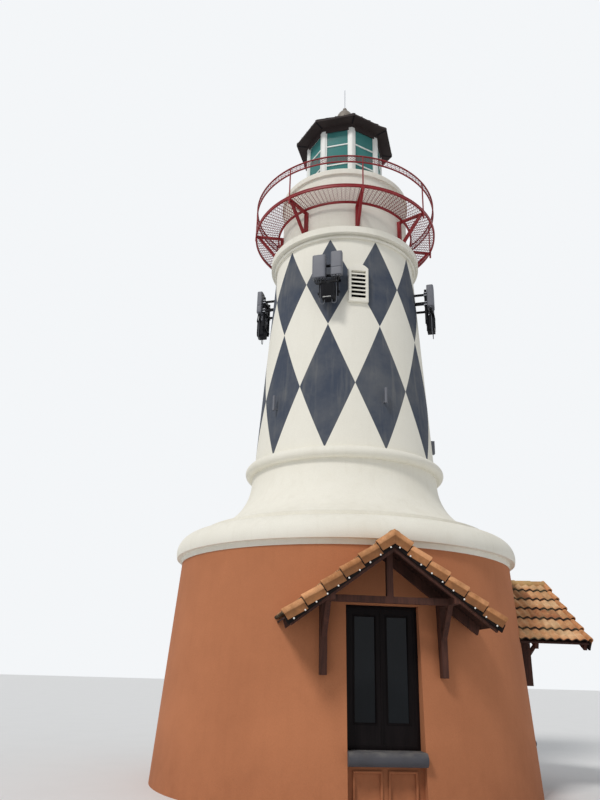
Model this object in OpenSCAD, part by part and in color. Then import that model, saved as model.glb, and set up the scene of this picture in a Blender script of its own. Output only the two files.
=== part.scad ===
/* [Base storey] */
// Height of the round masonry storey up to the white skirt
base_h = 4500; // [4100:50:5200]
// Outer radius of the base wall at the ground
base_r_foot = 4170; // [3900:10:4500]
// Outer radius of the base wall under the skirt
base_r_top = 3875; // [3600:5:3950]
// Thickness of the base wall
base_wall_t = 400; // [300:10:500]
// Thickness of the ground floor slab
floor_t = 150; // [100:10:250]

/* [Skirt] */
// Height of the plain fascia band at the foot of the skirt
fascia_h = 110; // [60:5:200]
// How far the fascia stands out from the base wall
fascia_out = 15; // [5:1:60]
// How far the bulging nose of the skirt stands out from the base wall
nose_out = 145; // [80:5:250]
// Radius of the round of the nose
nose_round = 400; // [320:10:460]
// Height of the centre of the nose above the foot of the skirt
nose_mid_h = 230; // [200:5:300]
// Height of the riser between the nose and the cove
riser_h = 130; // [60:5:180]
// How far the riser stands in from the nose
riser_in = 580; // [480:10:680]
// Height of the top of the cove above the foot of the skirt
cove_top_h = 2110; // [1900:10:2300]
// Thickness of the shell of the skirt
skirt_t = 200; // [120:10:300]
// Height of the small fillet under the torus
fillet_h = 90; // [50:5:140]
// How far the fillet stands out from the shaft
fillet_out = 45; // [20:5:90]
// Height of the torus moulding
torus_h = 260; // [180:10:340]
// How far the torus stands out from the shaft
torus_out = 215; // [140:5:260]

/* [Shaft] */
// Outer radius of the shaft where it leaves the torus
shaft_r_foot = 2285; // [2150:5:2450]
// Outer radius of the shaft under the cornice
shaft_r_top = 1930; // [1850:5:2050]
// Height of the shaft from the torus to the cornice
shaft_h = 5820; // [5000:20:6500]
// Thickness of the shaft wall
shaft_t = 180; // [120:10:250]

/* [Cornice and watch drum] */
// Height of the whole cornice
cornice_h = 300; // [260:10:400]
// Height of the ledge at the top of the cornice
ledge_h = 185; // [140:5:220]
// How far the ledge stands out from the top of the shaft
ledge_out = 170; // [120:5:260]
// Radius of the watch drum above the cornice
drum_r = 1800; // [1700:5:1860]
// Height of the watch drum with its cap
drum_h = 2096; // [1900:4:2300]
// Thickness of the drum wall
drum_t = 150; // [100:10:200]
// Height of the cap moulding of the drum
cap_h = 176; // [120:4:220]
// How far the cap moulding stands out
cap_out = 60; // [30:5:100]

/* [Gallery] */
// Number of brackets and posts
bay_count = 8; // [6:1:12]
// Radius of the gallery rings on their centre line
gallery_r = 2600; // [2450:10:2750]
// Height of the gallery floor above the cornice
gallery_rise = 930; // [800:10:1000]
// Height of the top rail above the gallery floor
rail_h = 925; // [850:5:1100]
// Height of the second rail above the gallery floor
second_rail_h = 730; // [600:5:800]
// Radius of the rail tubes
rail_tube_r = 21; // [15:1:30]
// Radius of the post tubes
post_tube_r = 19; // [12:1:28]
// Width of the bracket members
bracket_w = 90; // [60:2:120]
// Distance of the inner floor ring from the watch drum
inner_ring_gap = 134; // [100:2:190]
// Number of floor bars in one bay
bars_per_bay = 16; // [8:1:20]
// Width of one floor bar
bar_w = 8; // [4:1:14]

/* [Lantern] */
// Radius of the lantern over its corners
lantern_r = 1180; // [1100:10:1300]
// Height of the lantern windows with their corner posts
lantern_h = 2120; // [1900:10:2300]
// Height of the dark header over the windows
header_h = 120; // [80:5:200]
// Depth of the dark board across the head of each window
head_board_h = 200; // [100:5:300]
// Radius of the eave over its corners
eave_r = 1520; // [1450:10:1650]
// Height of the eave fascia
eave_t = 60; // [40:5:120]
// Height of the roof above the eave
roof_h = 1270; // [1000:10:1500]
// Width of a corner post along each face
corner_w = 100; // [60:5:130]
// Thickness of the corner posts
corner_t = 110; // [80:5:140]
// Width of the window frame bars
sash_w = 36; // [25:1:60]
// Depth of the window frame bars
sash_t = 60; // [40:2:80]
// Thickness of the glass
glass_t = 10; // [6:1:16]
// Radius of the dome on the roof
dome_r = 215; // [160:5:260]
// Height of the dome
dome_h = 285; // [220:5:340]
// Radius of the knob on the dome
knob_r = 55; // [40:1:70]
// Height of the lightning rod above the knob
rod_h = 800; // [500:10:1000]

/* [Windows] */
// Width of the tall window openings
win_w = 1360; // [1100:10:1600]
// Height of the window head above the ground
win_head = 3400; // [3200:10:3500]
// Height of the top of the sill above the ground
sill_top = 1000; // [850:10:1200]
// Height of the sill stone
sill_h = 220; // [150:5:260]
// Width of the window frame bars
frame_w = 75; // [50:1:100]
// Depth of the window frame
frame_t = 90; // [70:5:120]
// Width of the stiles of the leaves
stile_w = 95; // [60:1:120]
// How far the front of the window frame stands back from the wall at half height
win_recess = 265; // [120:5:290]

/* [Canopies] */
// Half of the width of a canopy
canopy_half = 1950; // [1700:10:2100]
// Height of the ridge above the foot of the skirt
ridge_over = 100; // [0:5:105]
// Slope of a canopy in degrees
canopy_pitch = 36.7; // [30:0.1:42]
// How far the front and back canopies stand out from the wall under the skirt
canopy_out = 1085; // [800:5:1400]
// How much further the side canopy stands out
side_more = 190; // [0:10:300]
// How much lower the side canopy hangs
side_drop = 110; // [0:10:200]
// Thickness of the tile layer
tile_t = 90; // [60:5:120]
// Thickness of the boards under the tiles
deck_t = 30; // [20:1:50]
// Depth of a barge board
barge_d = 150; // [120:5:240]
// Thickness of a barge board
barge_t = 45; // [30:1:70]
// How far the barge boards stand back from the ends of the tiles
barge_in = 40; // [20:1:60]
// Size of the timbers
timber = 115; // [90:5:150]
// Distance of the wall posts from the middle of the canopy
bracket_x = 1100; // [900:10:1300]
// Distance of the foot of the wall posts below the ridge
post_drop = 2420; // [2200:10:2600]
// Distance of the tie beam and the king post from the ends of the tiles
truss_in = 440; // [300:10:600]
// How far a brace reaches out from its wall post
brace_reach = 450; // [300:10:600]

/* [Vent] */
// Width of the louvre vent
vent_w = 500; // [400:10:600]
// Height of the vent up to the spring of its arch
vent_h = 960; // [800:10:1100]
// Rise of the arch of the vent
vent_rise = 130; // [80:5:160]
// Height of the foot of the vent above the foot of the shaft
vent_up = 3860; // [3400:20:4200]
// Azimuth of the vent
vent_az = -0.8; // [-4:0.1:4]
// Width of the frame of the vent
vent_frame = 65; // [45:5:90]
// How far the vent stands out from the shaft at its foot
vent_out = 80; // [60:5:140]
// Number of louvre blades
blade_count = 7; // [5:1:10]

/* [Antennas] */
// Azimuth of the first antenna array
array_az = -22; // [-40:1:0]
// Height of the foot of the first array's covers above the foot of the shaft
array_up = 4365; // [4000:5:4700]
// How much higher each array stands than the one before it
array_step = 120; // [0:10:160]
// Distance of the middle of the covers from the shaft
array_out = 400; // [320:10:500]
// Height of an antenna cover
cover_h = 645; // [500:5:900]
// Width of an antenna cover
cover_w = 340; // [200:10:400]
// Depth of an antenna cover
cover_d = 190; // [120:5:240]
// Width of a radio box
radio_w = 330; // [250:10:400]
// Height of a radio box
radio_h = 480; // [350:10:600]
// Azimuth of the first small antenna
small_az = 14.4; // [0:0.1:40]
// Height of the foot of the small antennas above the foot of the shaft
small_up = 1140; // [900:10:1400]
// Height of a small antenna
small_h = 380; // [250:10:500]

/* [Hidden] */
$fn = 144;
// Facets of a full turn of the widest walls
wall_facets = 240;
touch = 0.3;
quarter = 90;
half_turn = 180;
window_azimuths = [0, 90, 180];

// Levels, from the ground up
skirt_z = base_h;
cove_top_z = skirt_z + cove_top_h;
torus_z = cove_top_z + fillet_h;
shaft_z = torus_z + torus_h;
cornice_z = shaft_z + shaft_h;
drum_z = cornice_z + cornice_h;
lantern_z = drum_z + drum_h;
header_z = lantern_z + lantern_h;
eave_z = header_z + header_h;
roof_z = eave_z + eave_t;
dome_z = roof_z + roof_h;
knob_z = dome_z + dome_h + knob_r * 0.8;
gallery_z = drum_z + gallery_rise;

// Radii of the battered walls at a height
function base_r(z) = base_r_foot + (base_r_top - base_r_foot) * z / base_h;
function shaft_r(z) = shaft_r_foot + (shaft_r_top - shaft_r_foot) * (z - shaft_z) / shaft_h;

// Skirt profile
nose_r = base_r_top + nose_out;
nose_x = nose_r - nose_round;
nose_z = skirt_z + nose_mid_h;
nose_top_z = nose_z + nose_round;
nose_fall = 20;
riser_r = nose_r - riser_in;
crease_z = nose_top_z + riser_h;
cove_x = shaft_r_foot + fillet_out;
cove_dx = riser_r - cove_x;
cove_dz = cove_top_z - crease_z;
cove_round = (pow(cove_dx, 2) + pow(cove_dz, 2)) / (2 * cove_dx);

// Hollow under the skirt, which bends in under the cove and rises to the throat
hollow_r = base_r_top - base_wall_t;
bend_r = cove_x + cove_dx * 0.35 - skirt_t;
bend_z = crease_z + cove_dz * 0.12;
throat_r = cove_x - skirt_t;
throat_z = cove_top_z - cove_dz * 0.45;

// Cornice
ledge_r = shaft_r_top + ledge_out;
neck_h = cornice_h - ledge_h;
neck_out = 20;
roll_d = neck_h * 0.6;
roll_out = 80;

// Gallery
bay = 360 / bay_count;
floor_bar_h = 20;
ring_bar = 50;
bar_z = gallery_z - floor_bar_h;
inner_ring_r = drum_r + inner_ring_gap;
arm_h = 50;
arm_z = bar_z - ring_bar - arm_h;
strut_up = 60;
strut_in = 90;
socket_h = 110;
socket_r = post_tube_r + 8;

// Lantern
bay_half = 180 / 8;
face_r = lantern_r * cos(bay_half);
face_len = 2 * lantern_r * sin(bay_half);
sash_len = face_len - 2 * corner_w;
transom_count = 2;
pane_h = (lantern_h - (transom_count + 2) * sash_w) / (transom_count + 1);
sash_back = (corner_t - sash_t) / 2;
rod_r = 12;
rod_collar_r = 26;
rod_collar_h = 60;

// Windows
leaf_len = (win_w - 2 * frame_w) / 2;
pane_w = leaf_len - 2 * stile_w;
top_rail_h = 105;
bottom_rail_h = 330;
leaf_back = 14;
meeting_bead = 34;
frame_z = sill_top;
frame_len = win_head - frame_z;
win_pane_z = frame_z + frame_w + bottom_rail_h;
win_pane_h = frame_len - 2 * frame_w - top_rail_h - bottom_rail_h;
win_front_r = base_r((sill_top + win_head) / 2) - win_recess;
win_plane_r = win_front_r - frame_t;
sill_out = 120;
apron_out = 150;
apron_t = 200;
apron_h = sill_top - sill_h;
apron_r = win_front_r + apron_out;

// Canopies, each with its azimuth, its reach and the height of its ridge
canopy_reach = base_r_top + canopy_out;
ridge_z = base_h + ridge_over;
canopies = [[0, canopy_reach, ridge_z], [90, canopy_reach + side_more, ridge_z - side_drop],
    [180, canopy_reach, ridge_z]];
under_tile_drop = tile_t / cos(canopy_pitch);
under_deck_drop = (tile_t + deck_t) / cos(canopy_pitch);
canopy_start_r = sqrt(pow(base_r_top, 2) - pow(canopy_half, 2)) - base_wall_t / 2;
deck_in = 60;
barge_tail_in = 40;
rafter_w = 80;
rafter_d = 175;
rafter_tail_in = 120;
brace_d = 75;
brace_rise = brace_reach * 1.45;

// Vent
vent_z = shaft_z + vent_up;
vent_front_r = shaft_r(vent_z) + vent_out;
vent_inner_w = vent_w - 2 * vent_frame;
vent_inner_h = vent_h - 2 * vent_frame;
blade_t = 42;
blade_run = 75;
blade_back = 25;
blade_gap = 12;

// Antennas
array_z = shaft_z + array_up;
array_r = shaft_r(array_z) + array_out;
array_back_r = array_r - cover_d / 2;
cover_x = -150;
unit_x = 290;
unit_w = cover_w * 0.85;
unit_d = cover_d * 0.8;
unit_up = 55;
unit_h = cover_h + 25;
pole_tube_r = 32;
pole_gap = 8;
pole_r = array_back_r - pole_gap - pole_tube_r;
pole_drop = 450;
rail_bar = 50;
rail_in = 120;
rail_over = 60;
radio_x = cover_x + unit_w / 2 + 95;
radio_gap = 135;
radio_d = 200;
radio_corner = 55;
lead_r = 9;
lead_bend = 55;
lead_drop = 60;
small_z = shaft_z + small_up;
small_r = shaft_r(small_z) + 110;
small_tube_r = 32;
small_box = [120, 130, 350];
small_box_drop = 500;

// Extrudes a section that is drawn as distance from the axis and height, centred across the front
module across(w, x = 0) {
    translate([x + w / 2, 0, 0]) rotate([90, 0, -90]) linear_extrude(w) children();
}

// Rectangle with round corners, centred
module rounded(w, h, corner) {
    square([w - 2 * corner, h], center = true);
    square([w, h - 2 * corner], center = true);
    for (x = [-1, 1], y = [-1, 1]) translate([x * (w / 2 - corner), y * (h / 2 - corner)]) circle(r = corner);
}

// Body of the shaft, which fixings are cut back to
module shaft_envelope() {
    translate([0, 0, shaft_z]) cylinder(r1 = shaft_r_foot + touch, r2 = shaft_r_top + touch, h = shaft_h);
}

// A sector of a revolved wall, centred on an azimuth counted from the front
module sector(azimuth, span) {
    rotate([0, 0, azimuth - 90 - span / 2]) rotate_extrude(angle = span, $fn = wall_facets) children();
}

// Turns a piece that is built on the front to an azimuth
module at(azimuth) {
    rotate([0, 0, azimuth]) children();
}

// Section of the base wall
module base_profile() {
    polygon([[base_r_foot - base_wall_t, 0], [base_r_foot, 0], [base_r_top, base_h],
        [base_r_top - base_wall_t, base_h]]);
}

// Box of an opening through the front of a wall
module front_opening(w, z0, z1, r0, r1) {
    translate([-w / 2, -r1, z0]) cube([w, r1 - r0, z1 - z0]);
}

module base_segment(azimuth, opened) {
    difference() {
        sector(azimuth, quarter) base_profile();
        if (opened) at(azimuth)
            front_opening(win_w, -1, win_head, base_r_top / 2, base_r_foot + base_wall_t);
    }
}

module base_wall_front() color("peru") base_segment(0, true);
module base_wall_right() color("peru") base_segment(90, true);
module base_wall_back() color("peru") base_segment(180, true);
module base_wall_left() color("peru") base_segment(270, false);

module ground_floor() color("gray") difference() {
    cylinder(r = base_r(floor_t) - base_wall_t - touch, h = floor_t);
    for (a = window_azimuths) at(a)
        front_opening(win_w + 2 * touch, -1, floor_t + 1, apron_r - apron_t - touch, base_r_foot);
}

// Outer form of the skirt, filled to the axis
module skirt_form() {
    difference() {
        union() {
            translate([0, skirt_z]) square([base_r_top + fascia_out, fascia_h]);
            translate([0, skirt_z + fascia_h]) square([nose_x, nose_top_z - skirt_z - fascia_h]);
            intersection() {
                translate([nose_x, nose_z]) circle(r = nose_round);
                translate([0, skirt_z + fascia_h]) square([nose_r + 1, nose_round * 2]);
            }
            polygon([[0, nose_top_z - 1], [nose_x, nose_top_z - 1], [nose_x, nose_top_z],
                [riser_r, nose_top_z + nose_fall], [riser_r, cove_top_z], [0, cove_top_z]]);
        }
        translate([cove_x + cove_round, cove_top_z]) circle(r = cove_round);
    }
}

// Hollow under the shell of the skirt
module skirt_hollow() {
    polygon([[0, skirt_z - 1], [hollow_r, skirt_z - 1], [hollow_r, nose_z], [bend_r, bend_z],
        [throat_r, throat_z], [throat_r, cove_top_z + 1], [0, cove_top_z + 1]]);
}

module skirt_profile() {
    difference() {
        skirt_form();
        skirt_hollow();
    }
}

module skirt_front() color("ivory") sector(0, half_turn) skirt_profile();
module skirt_back() color("ivory") sector(180, half_turn) skirt_profile();

// Fillet and half-round torus under the shaft
module torus_moulding() color("ivory") rotate_extrude() {
    inner = shaft_r_foot - shaft_t;
    translate([inner, cove_top_z]) square([shaft_r_foot + fillet_out - inner, fillet_h]);
    translate([inner, torus_z]) square([shaft_r_foot + torus_out - torus_h / 2 - inner, torus_h]);
    translate([shaft_r_foot + torus_out - torus_h / 2, torus_z + torus_h / 2]) circle(d = torus_h);
}

module shaft_profile() {
    polygon([[shaft_r_foot - shaft_t, shaft_z], [shaft_r_foot, shaft_z], [shaft_r_top, cornice_z],
        [shaft_r_top - shaft_t, cornice_z]]);
}

module shaft_segment(azimuth) sector(azimuth, quarter) shaft_profile();

module vent_hole() {
    at(vent_az) front_opening(vent_inner_w, vent_z + vent_frame, vent_z + vent_frame + vent_inner_h,
        shaft_r_top / 2, shaft_r_foot + shaft_t);
}

module shaft_front() color("ivory") difference() {
    shaft_segment(0);
    vent_hole();
}
module shaft_right() color("ivory") shaft_segment(90);
module shaft_back() color("ivory") shaft_segment(180);
module shaft_left() color("ivory") shaft_segment(270);

// Ledge over a neck with a roll at its foot
module upper_cornice() color("ivory") rotate_extrude() {
    inner = drum_r - drum_t;
    translate([inner, cornice_z + neck_h]) square([ledge_r - inner, ledge_h]);
    translate([inner, cornice_z]) square([shaft_r_top + neck_out - inner, neck_h]);
    translate([shaft_r_top + roll_out - roll_d / 2, cornice_z + roll_d / 2]) circle(d = roll_d);
}

module drum_profile() translate([drum_r - drum_t, drum_z]) square([drum_t, drum_h - cap_h]);

module drum_front() color("ivory") sector(0, half_turn) drum_profile();
module drum_back() color("ivory") sector(180, half_turn) drum_profile();

// Cap that closes the drum and carries the lantern
module drum_cap() color("ivory") rotate_extrude() {
    round_r = 40;
    z0 = lantern_z - cap_h;
    square_r = drum_r + cap_out;
    translate([0, z0]) square([square_r, cap_h - round_r]);
    translate([0, z0]) square([square_r - round_r, cap_h]);
    translate([square_r - round_r, lantern_z - round_r]) circle(r = round_r);
}

// Corner of the octagon in plan, bent round the corner
module corner_plan() {
    a = bay_half;
    polygon([[0, -lantern_r],
        [corner_w * cos(a), -lantern_r + corner_w * sin(a)],
        [corner_w * cos(a) - corner_t * sin(a), -lantern_r + corner_w * sin(a) + corner_t * cos(a)],
        [0, -lantern_r + corner_t / cos(a)],
        [-corner_w * cos(a) + corner_t * sin(a), -lantern_r + corner_w * sin(a) + corner_t * cos(a)],
        [-corner_w * cos(a), -lantern_r + corner_w * sin(a)]]);
}

module lantern_posts() color("ivory")
    for (i = [0:7]) at(45 * i) translate([0, 0, lantern_z]) linear_extrude(lantern_h) corner_plan();

// One window frame of the lantern, three panes high
module lantern_sash() {
    y0 = -face_r + sash_back;
    difference() {
        translate([-sash_len / 2, y0, lantern_z]) cube([sash_len, sash_t, lantern_h]);
        for (k = [0:transom_count])
            translate([-sash_len / 2 + sash_w, y0 - 1, lantern_z + sash_w + k * (pane_h + sash_w)])
                cube([sash_len - 2 * sash_w, sash_t + 2, pane_h]);
    }
}

module lantern_sashes() color("white") for (i = [0:7]) at(45 * i + bay_half) lantern_sash();

module lantern_glass() color("teal", 0.6) for (i = [0:7]) at(45 * i + bay_half)
    for (k = [0:transom_count])
        translate([-sash_len / 2 + sash_w, -face_r + (corner_t - glass_t) / 2,
            lantern_z + sash_w + k * (pane_h + sash_w)]) cube([sash_len - 2 * sash_w, glass_t, pane_h]);

// Octagon with a corner at the front
module octagon(r) {
    polygon([for (i = [0:7]) [r * sin(45 * i), -r * cos(45 * i)]]);
}

// Board across the head of a window, in front of its frame
module head_board() {
    translate([-sash_len / 2 + touch, -face_r, header_z - head_board_h])
        cube([sash_len - 2 * touch, sash_back - touch, head_board_h + touch]);
}

module lantern_header() color("dimgray") {
    translate([0, 0, header_z]) linear_extrude(header_h) difference() {
        octagon(lantern_r);
        octagon(lantern_r - corner_t / cos(bay_half));
    }
    for (i = [0:7]) at(45 * i + bay_half) head_board();
}

module lantern_roof() color("dimgray") {
    translate([0, 0, eave_z]) linear_extrude(eave_t) octagon(eave_r);
    translate([0, 0, roof_z]) rotate([0, 0, -90])
        cylinder(r1 = eave_r, r2 = dome_r / cos(bay_half), h = roof_h, $fn = 8);
}

// Section of the dome, a shallow arc from its foot to the knob
module dome_section() {
    neck_r = knob_r * 0.7;
    chord = norm([dome_r - neck_r, dome_h]);
    bend = chord * 2.2;
    reach = sqrt(pow(bend, 2) - pow(chord / 2, 2));
    centre_x = (dome_r + neck_r) / 2 - reach * dome_h / chord;
    centre_z = dome_h / 2 - reach * (dome_r - neck_r) / chord;
    intersection() {
        translate([centre_x, centre_z]) circle(r = bend);
        square([dome_r, dome_h]);
    }
}

module roof_dome() color("gray") {
    translate([0, 0, dome_z]) rotate_extrude() dome_section();
    translate([0, 0, knob_z]) sphere(r = knob_r);
}

module lightning_rod() color("silver") {
    knob_top = knob_z + knob_r;
    difference() {
        translate([0, 0, knob_top - knob_r / 3]) cylinder(r = rod_collar_r, h = rod_collar_h);
        translate([0, 0, knob_z]) sphere(r = knob_r + touch);
    }
    translate([0, 0, knob_top + touch]) cylinder(r = rod_r, h = rod_h - touch);
}

// Ring of square or round bar
module bar_ring(r, z, w, h) rotate_extrude() translate([r - w / 2, z]) square([w, h]);
module tube_ring(r, z, tube_r) translate([0, 0, z]) rotate_extrude() translate([r, 0]) circle(r = tube_r);

outer_ring_z = gallery_z;

module gallery_inner_ring() color("firebrick") bar_ring(inner_ring_r, bar_z - ring_bar, ring_bar, ring_bar);

module gallery_outer_ring() color("firebrick") {
    tube_ring(gallery_r, outer_ring_z, rail_tube_r);
    rotate_extrude() {
        translate([gallery_r - rail_tube_r - 10, bar_z - ring_bar]) square([2 * rail_tube_r + 4, ring_bar]);
        translate([gallery_r - 6, bar_z - ring_bar]) square([12, ring_bar + floor_bar_h]);
    }
}

// Upright on the drum, arm under the floor and a strut between them
module gallery_bracket() {
    w = bracket_w;
    strut_w = w * 0.8;
    arm_end = gallery_r + rail_tube_r;
    foot = [drum_r + touch + w, drum_z + strut_up];
    head = [gallery_r - strut_in, arm_z];
    strut_len = norm(head - foot);
    strut_a = atan2(head[1] - foot[1], head[0] - foot[0]);
    translate([-w / 2, -(drum_r + touch + w), drum_z]) cube([w, w, arm_z + arm_h - drum_z]);
    translate([-w / 2, -arm_end, arm_z]) cube([w, arm_end - drum_r - touch - w / 2, arm_h]);
    translate([0, -foot[0], foot[1]]) rotate([-strut_a, 0, 0])
        translate([-strut_w / 2, -strut_len, -strut_w / 2]) cube([strut_w, strut_len, strut_w]);
}

module gallery_brackets() color("firebrick") for (i = [0:bay_count - 1]) at(bay * i) gallery_bracket();

module gallery_floor() color("indianred") for (i = [0:bay_count * bars_per_bay - 1])
    at(bay * (i + 0.5) / bars_per_bay)
        translate([-bar_w / 2, -(gallery_r - rail_tube_r - 8), bar_z])
            cube([bar_w, gallery_r - rail_tube_r - 8 - inner_ring_r + ring_bar / 2, floor_bar_h - 6]);

module gallery_posts() color("firebrick") for (i = [0:bay_count - 1]) at(bay * i) {
    translate([0, -gallery_r, 0]) difference() {
        translate([0, 0, outer_ring_z]) cylinder(r = post_tube_r, h = rail_h, $fn = 24);
        translate([0, gallery_r, 0]) tube_ring(gallery_r, outer_ring_z, rail_tube_r);
        translate([0, gallery_r, 0]) tube_ring(gallery_r, outer_ring_z + second_rail_h, rail_tube_r);
        translate([0, gallery_r, 0]) tube_ring(gallery_r, outer_ring_z + rail_h, rail_tube_r);
    }
    translate([0, -gallery_r, arm_z - socket_h]) cylinder(r = socket_r, h = socket_h, $fn = 24);
}

module gallery_top_rail() color("firebrick") tube_ring(gallery_r, outer_ring_z + rail_h, rail_tube_r);
module gallery_second_rail() color("firebrick")
    tube_ring(gallery_r, outer_ring_z + second_rail_h, rail_tube_r);

module gallery_rail_mesh() color("indianred") for (i = [0:bay_count * bars_per_bay - 1])
    at(bay * (i + 0.5) / bars_per_bay)
        translate([-bar_w / 2, -gallery_r - 3, outer_ring_z + second_rail_h + rail_tube_r - 1])
            cube([bar_w, 6, rail_h - second_rail_h - 2 * rail_tube_r + 2]);

// Frame with two leaves that stand back from it, each with one tall pane, and a bead where they meet
module window_frame() {
    leaf_h = frame_len - 2 * frame_w;
    translate([-win_w / 2, -win_front_r, frame_z]) difference() {
        cube([win_w, frame_t, frame_len]);
        for (k = [0, 1]) {
            translate([frame_w + k * (leaf_len + meeting_bead / 2), -1, frame_w])
                cube([leaf_len - meeting_bead / 2, leaf_back + 1, leaf_h]);
            translate([frame_w + stile_w + k * leaf_len, -1, win_pane_z - frame_z])
                cube([pane_w, frame_t + 2, win_pane_h]);
        }
    }
}

module window_frames() color("black") for (a = window_azimuths) at(a) window_frame();

module window_glass() color("slategray", 0.6) for (a = window_azimuths) at(a)
    for (k = [0, 1])
        translate([-win_w / 2 + frame_w + stile_w + k * leaf_len, -win_plane_r - (frame_t + glass_t) / 2,
            win_pane_z]) cube([pane_w, glass_t, win_pane_h]);

// Stone sill with a bull nose
module window_sill() {
    nose = sill_h / 2;
    nose_mid_r = base_r(sill_top) + sill_out - nose;
    translate([0, 0, sill_top - sill_h]) across(win_w) {
        translate([win_plane_r, 0]) square([nose_mid_r - win_plane_r, sill_h]);
        translate([nose_mid_r, nose]) circle(r = nose);
    }
}

module window_sills() color("dimgray") for (a = window_azimuths) at(a) window_sill();

// Panelled apron under the sill
module window_apron() {
    panel_gap = 130;
    panel_foot = 110;
    panel_head = 90;
    panel_in = 25;
    apron_panel_w = (win_w - 3 * panel_gap) / 2;
    difference() {
        translate([-win_w / 2, -apron_r, 0]) cube([win_w, apron_t, apron_h]);
        for (k = [0, 1])
            translate([-win_w / 2 + panel_gap + k * (apron_panel_w + panel_gap), -apron_r - 1, panel_foot])
                cube([apron_panel_w, panel_in + 1, apron_h - panel_foot - panel_head]);
    }
}

module window_aprons() color("sienna") for (a = window_azimuths) at(a) window_apron();

// Space of the tower itself, which a canopy is cut back to
module tower_envelope() {
    cylinder(r1 = base_r_foot + touch, r2 = base_r_top + touch, h = base_h);
    translate([0, 0, base_h - 1]) cylinder(r = base_r_top + fascia_out + touch, h = fascia_h);
    translate([0, 0, base_h + fascia_h - 1]) cylinder(r = nose_r + touch, h = 2 * nose_round);
}

// Height of a slope of a canopy at a distance from its middle, below a ridge
function slope_z(top, x) = top - x * tan(canopy_pitch);

// One sloping layer of a gabled roof, on both sides of the ridge
module gable_layer(top, thick, reach, half) {
    t = thick / cos(canopy_pitch);
    foot = slope_z(top, half);
    translate([0, -canopy_start_r, 0]) rotate([90, 0, 0]) linear_extrude(reach - canopy_start_r)
        polygon([[0, top], [half, foot], [half, foot - t], [0, top - t], [-half, foot - t], [-half, foot]]);
}

// Pair of sloping boards in one plane, with their lower ends cut back
module gable_boards(top, depth, reach, thick, half, cut) {
    t = depth / cos(canopy_pitch);
    foot = slope_z(top, half);
    translate([0, -(reach - thick), 0]) rotate([90, 0, 0]) linear_extrude(thick)
        polygon([[0, top], [half, foot], [half - cut, foot - t * 0.7], [0, top - t],
            [-half + cut, foot - t * 0.7], [-half, foot]]);
}

module canopy_tile_layer(reach, top) difference() {
    gable_layer(top, tile_t, reach, canopy_half);
    tower_envelope();
}

module canopy_deck(reach, top) difference() {
    gable_layer(top - under_tile_drop, deck_t, reach - barge_in - barge_t - touch, canopy_half - deck_in);
    tower_envelope();
}

module canopy_barge(reach, top) {
    gable_boards(top - under_tile_drop - touch, barge_d, reach - barge_in, barge_t,
        canopy_half - barge_tail_in, 70);
}

// Rafters, ridge beam, king post, tie beam, side beams, wall posts and braces
module canopy_frame(reach, top) {
    under_deck = top - under_deck_drop - touch;
    front_r = reach - barge_in - barge_t - touch;
    wall_r = base_r(top) - timber;
    truss_r = reach - truss_in;
    ridge_low = under_deck - rafter_d;
    side_top = slope_z(under_deck, bracket_x) - rafter_d * 0.75;
    side_low = side_top - timber;
    post_foot = top - post_drop;
    post_r = base_r(post_foot) + timber * 0.2;
    brace_foot = side_low - brace_rise;
    difference() {
        union() {
            for (r = [front_r, base_r(top) + rafter_w])
                gable_boards(under_deck, rafter_d, r, rafter_w, canopy_half - rafter_tail_in, 50);
            translate([-timber / 2, -front_r, ridge_low]) cube([timber, front_r - wall_r, rafter_d * 0.7]);
            translate([-timber / 2, -truss_r, side_low]) cube([timber, timber, ridge_low - side_low + 1]);
            translate([-bracket_x - timber / 2, -truss_r, side_low])
                cube([2 * bracket_x + timber, timber, timber]);
            for (s = [-1, 1]) {
                translate([s * bracket_x - timber / 2, -front_r, side_low])
                    cube([timber, front_r - canopy_start_r, timber]);
                translate([s * bracket_x - timber / 2, -post_r, post_foot])
                    cube([timber, timber + base_wall_t, side_top - post_foot]);
                across(timber * 0.8, s * bracket_x) polygon([[post_r - timber / 2, brace_foot],
                    [post_r + brace_reach, side_low + 1], [post_r + brace_reach - brace_d, side_low + 1],
                    [post_r - timber / 2, brace_foot + brace_d * 1.6]]);
            }
        }
        tower_envelope();
    }
}

module canopy_timber() color("saddlebrown") for (c = canopies) at(c[0]) canopy_frame(c[1], c[2]);
module canopy_decks() color("saddlebrown") for (c = canopies) at(c[0]) canopy_deck(c[1], c[2]);
module canopy_barges() color("black") for (c = canopies) at(c[0]) canopy_barge(c[1], c[2]);
module canopy_tiles() color("chocolate") for (c = canopies) at(c[0]) canopy_tile_layer(c[1], c[2]);

// Outline of the vent with its flat arch
module vent_outline(w, h, rise) {
    arch_r = (pow(w / 2, 2) + pow(rise, 2)) / (2 * rise);
    translate([-w / 2, 0]) square([w, h]);
    intersection() {
        translate([0, h + rise - arch_r]) circle(r = arch_r);
        translate([-w / 2, h - 1]) square([w, rise + 1]);
    }
}

// Louvre blade that rises inwards, with an upright front edge
module vent_blade(z) {
    rise = blade_run * 0.7;
    front = vent_front_r - blade_back;
    across(vent_inner_w) polygon([[front, z], [front, z + blade_t], [front - blade_run, z + blade_t + rise],
        [front - blade_run, z + rise]]);
}

module louvre_vent() color("ivory") at(vent_az) {
    pitch = vent_inner_h / blade_count;
    difference() {
        translate([0, -shaft_r_top / 2, vent_z]) rotate([90, 0, 0])
            linear_extrude(vent_front_r - shaft_r_top / 2) vent_outline(vent_w, vent_h, vent_rise);
        front_opening(vent_inner_w, vent_z + vent_frame, vent_z + vent_frame + vent_inner_h, 0,
            vent_front_r + 1);
        shaft_envelope();
    }
    for (k = [0:blade_count - 1]) vent_blade(vent_z + vent_frame + blade_gap + k * pitch);
}

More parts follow.
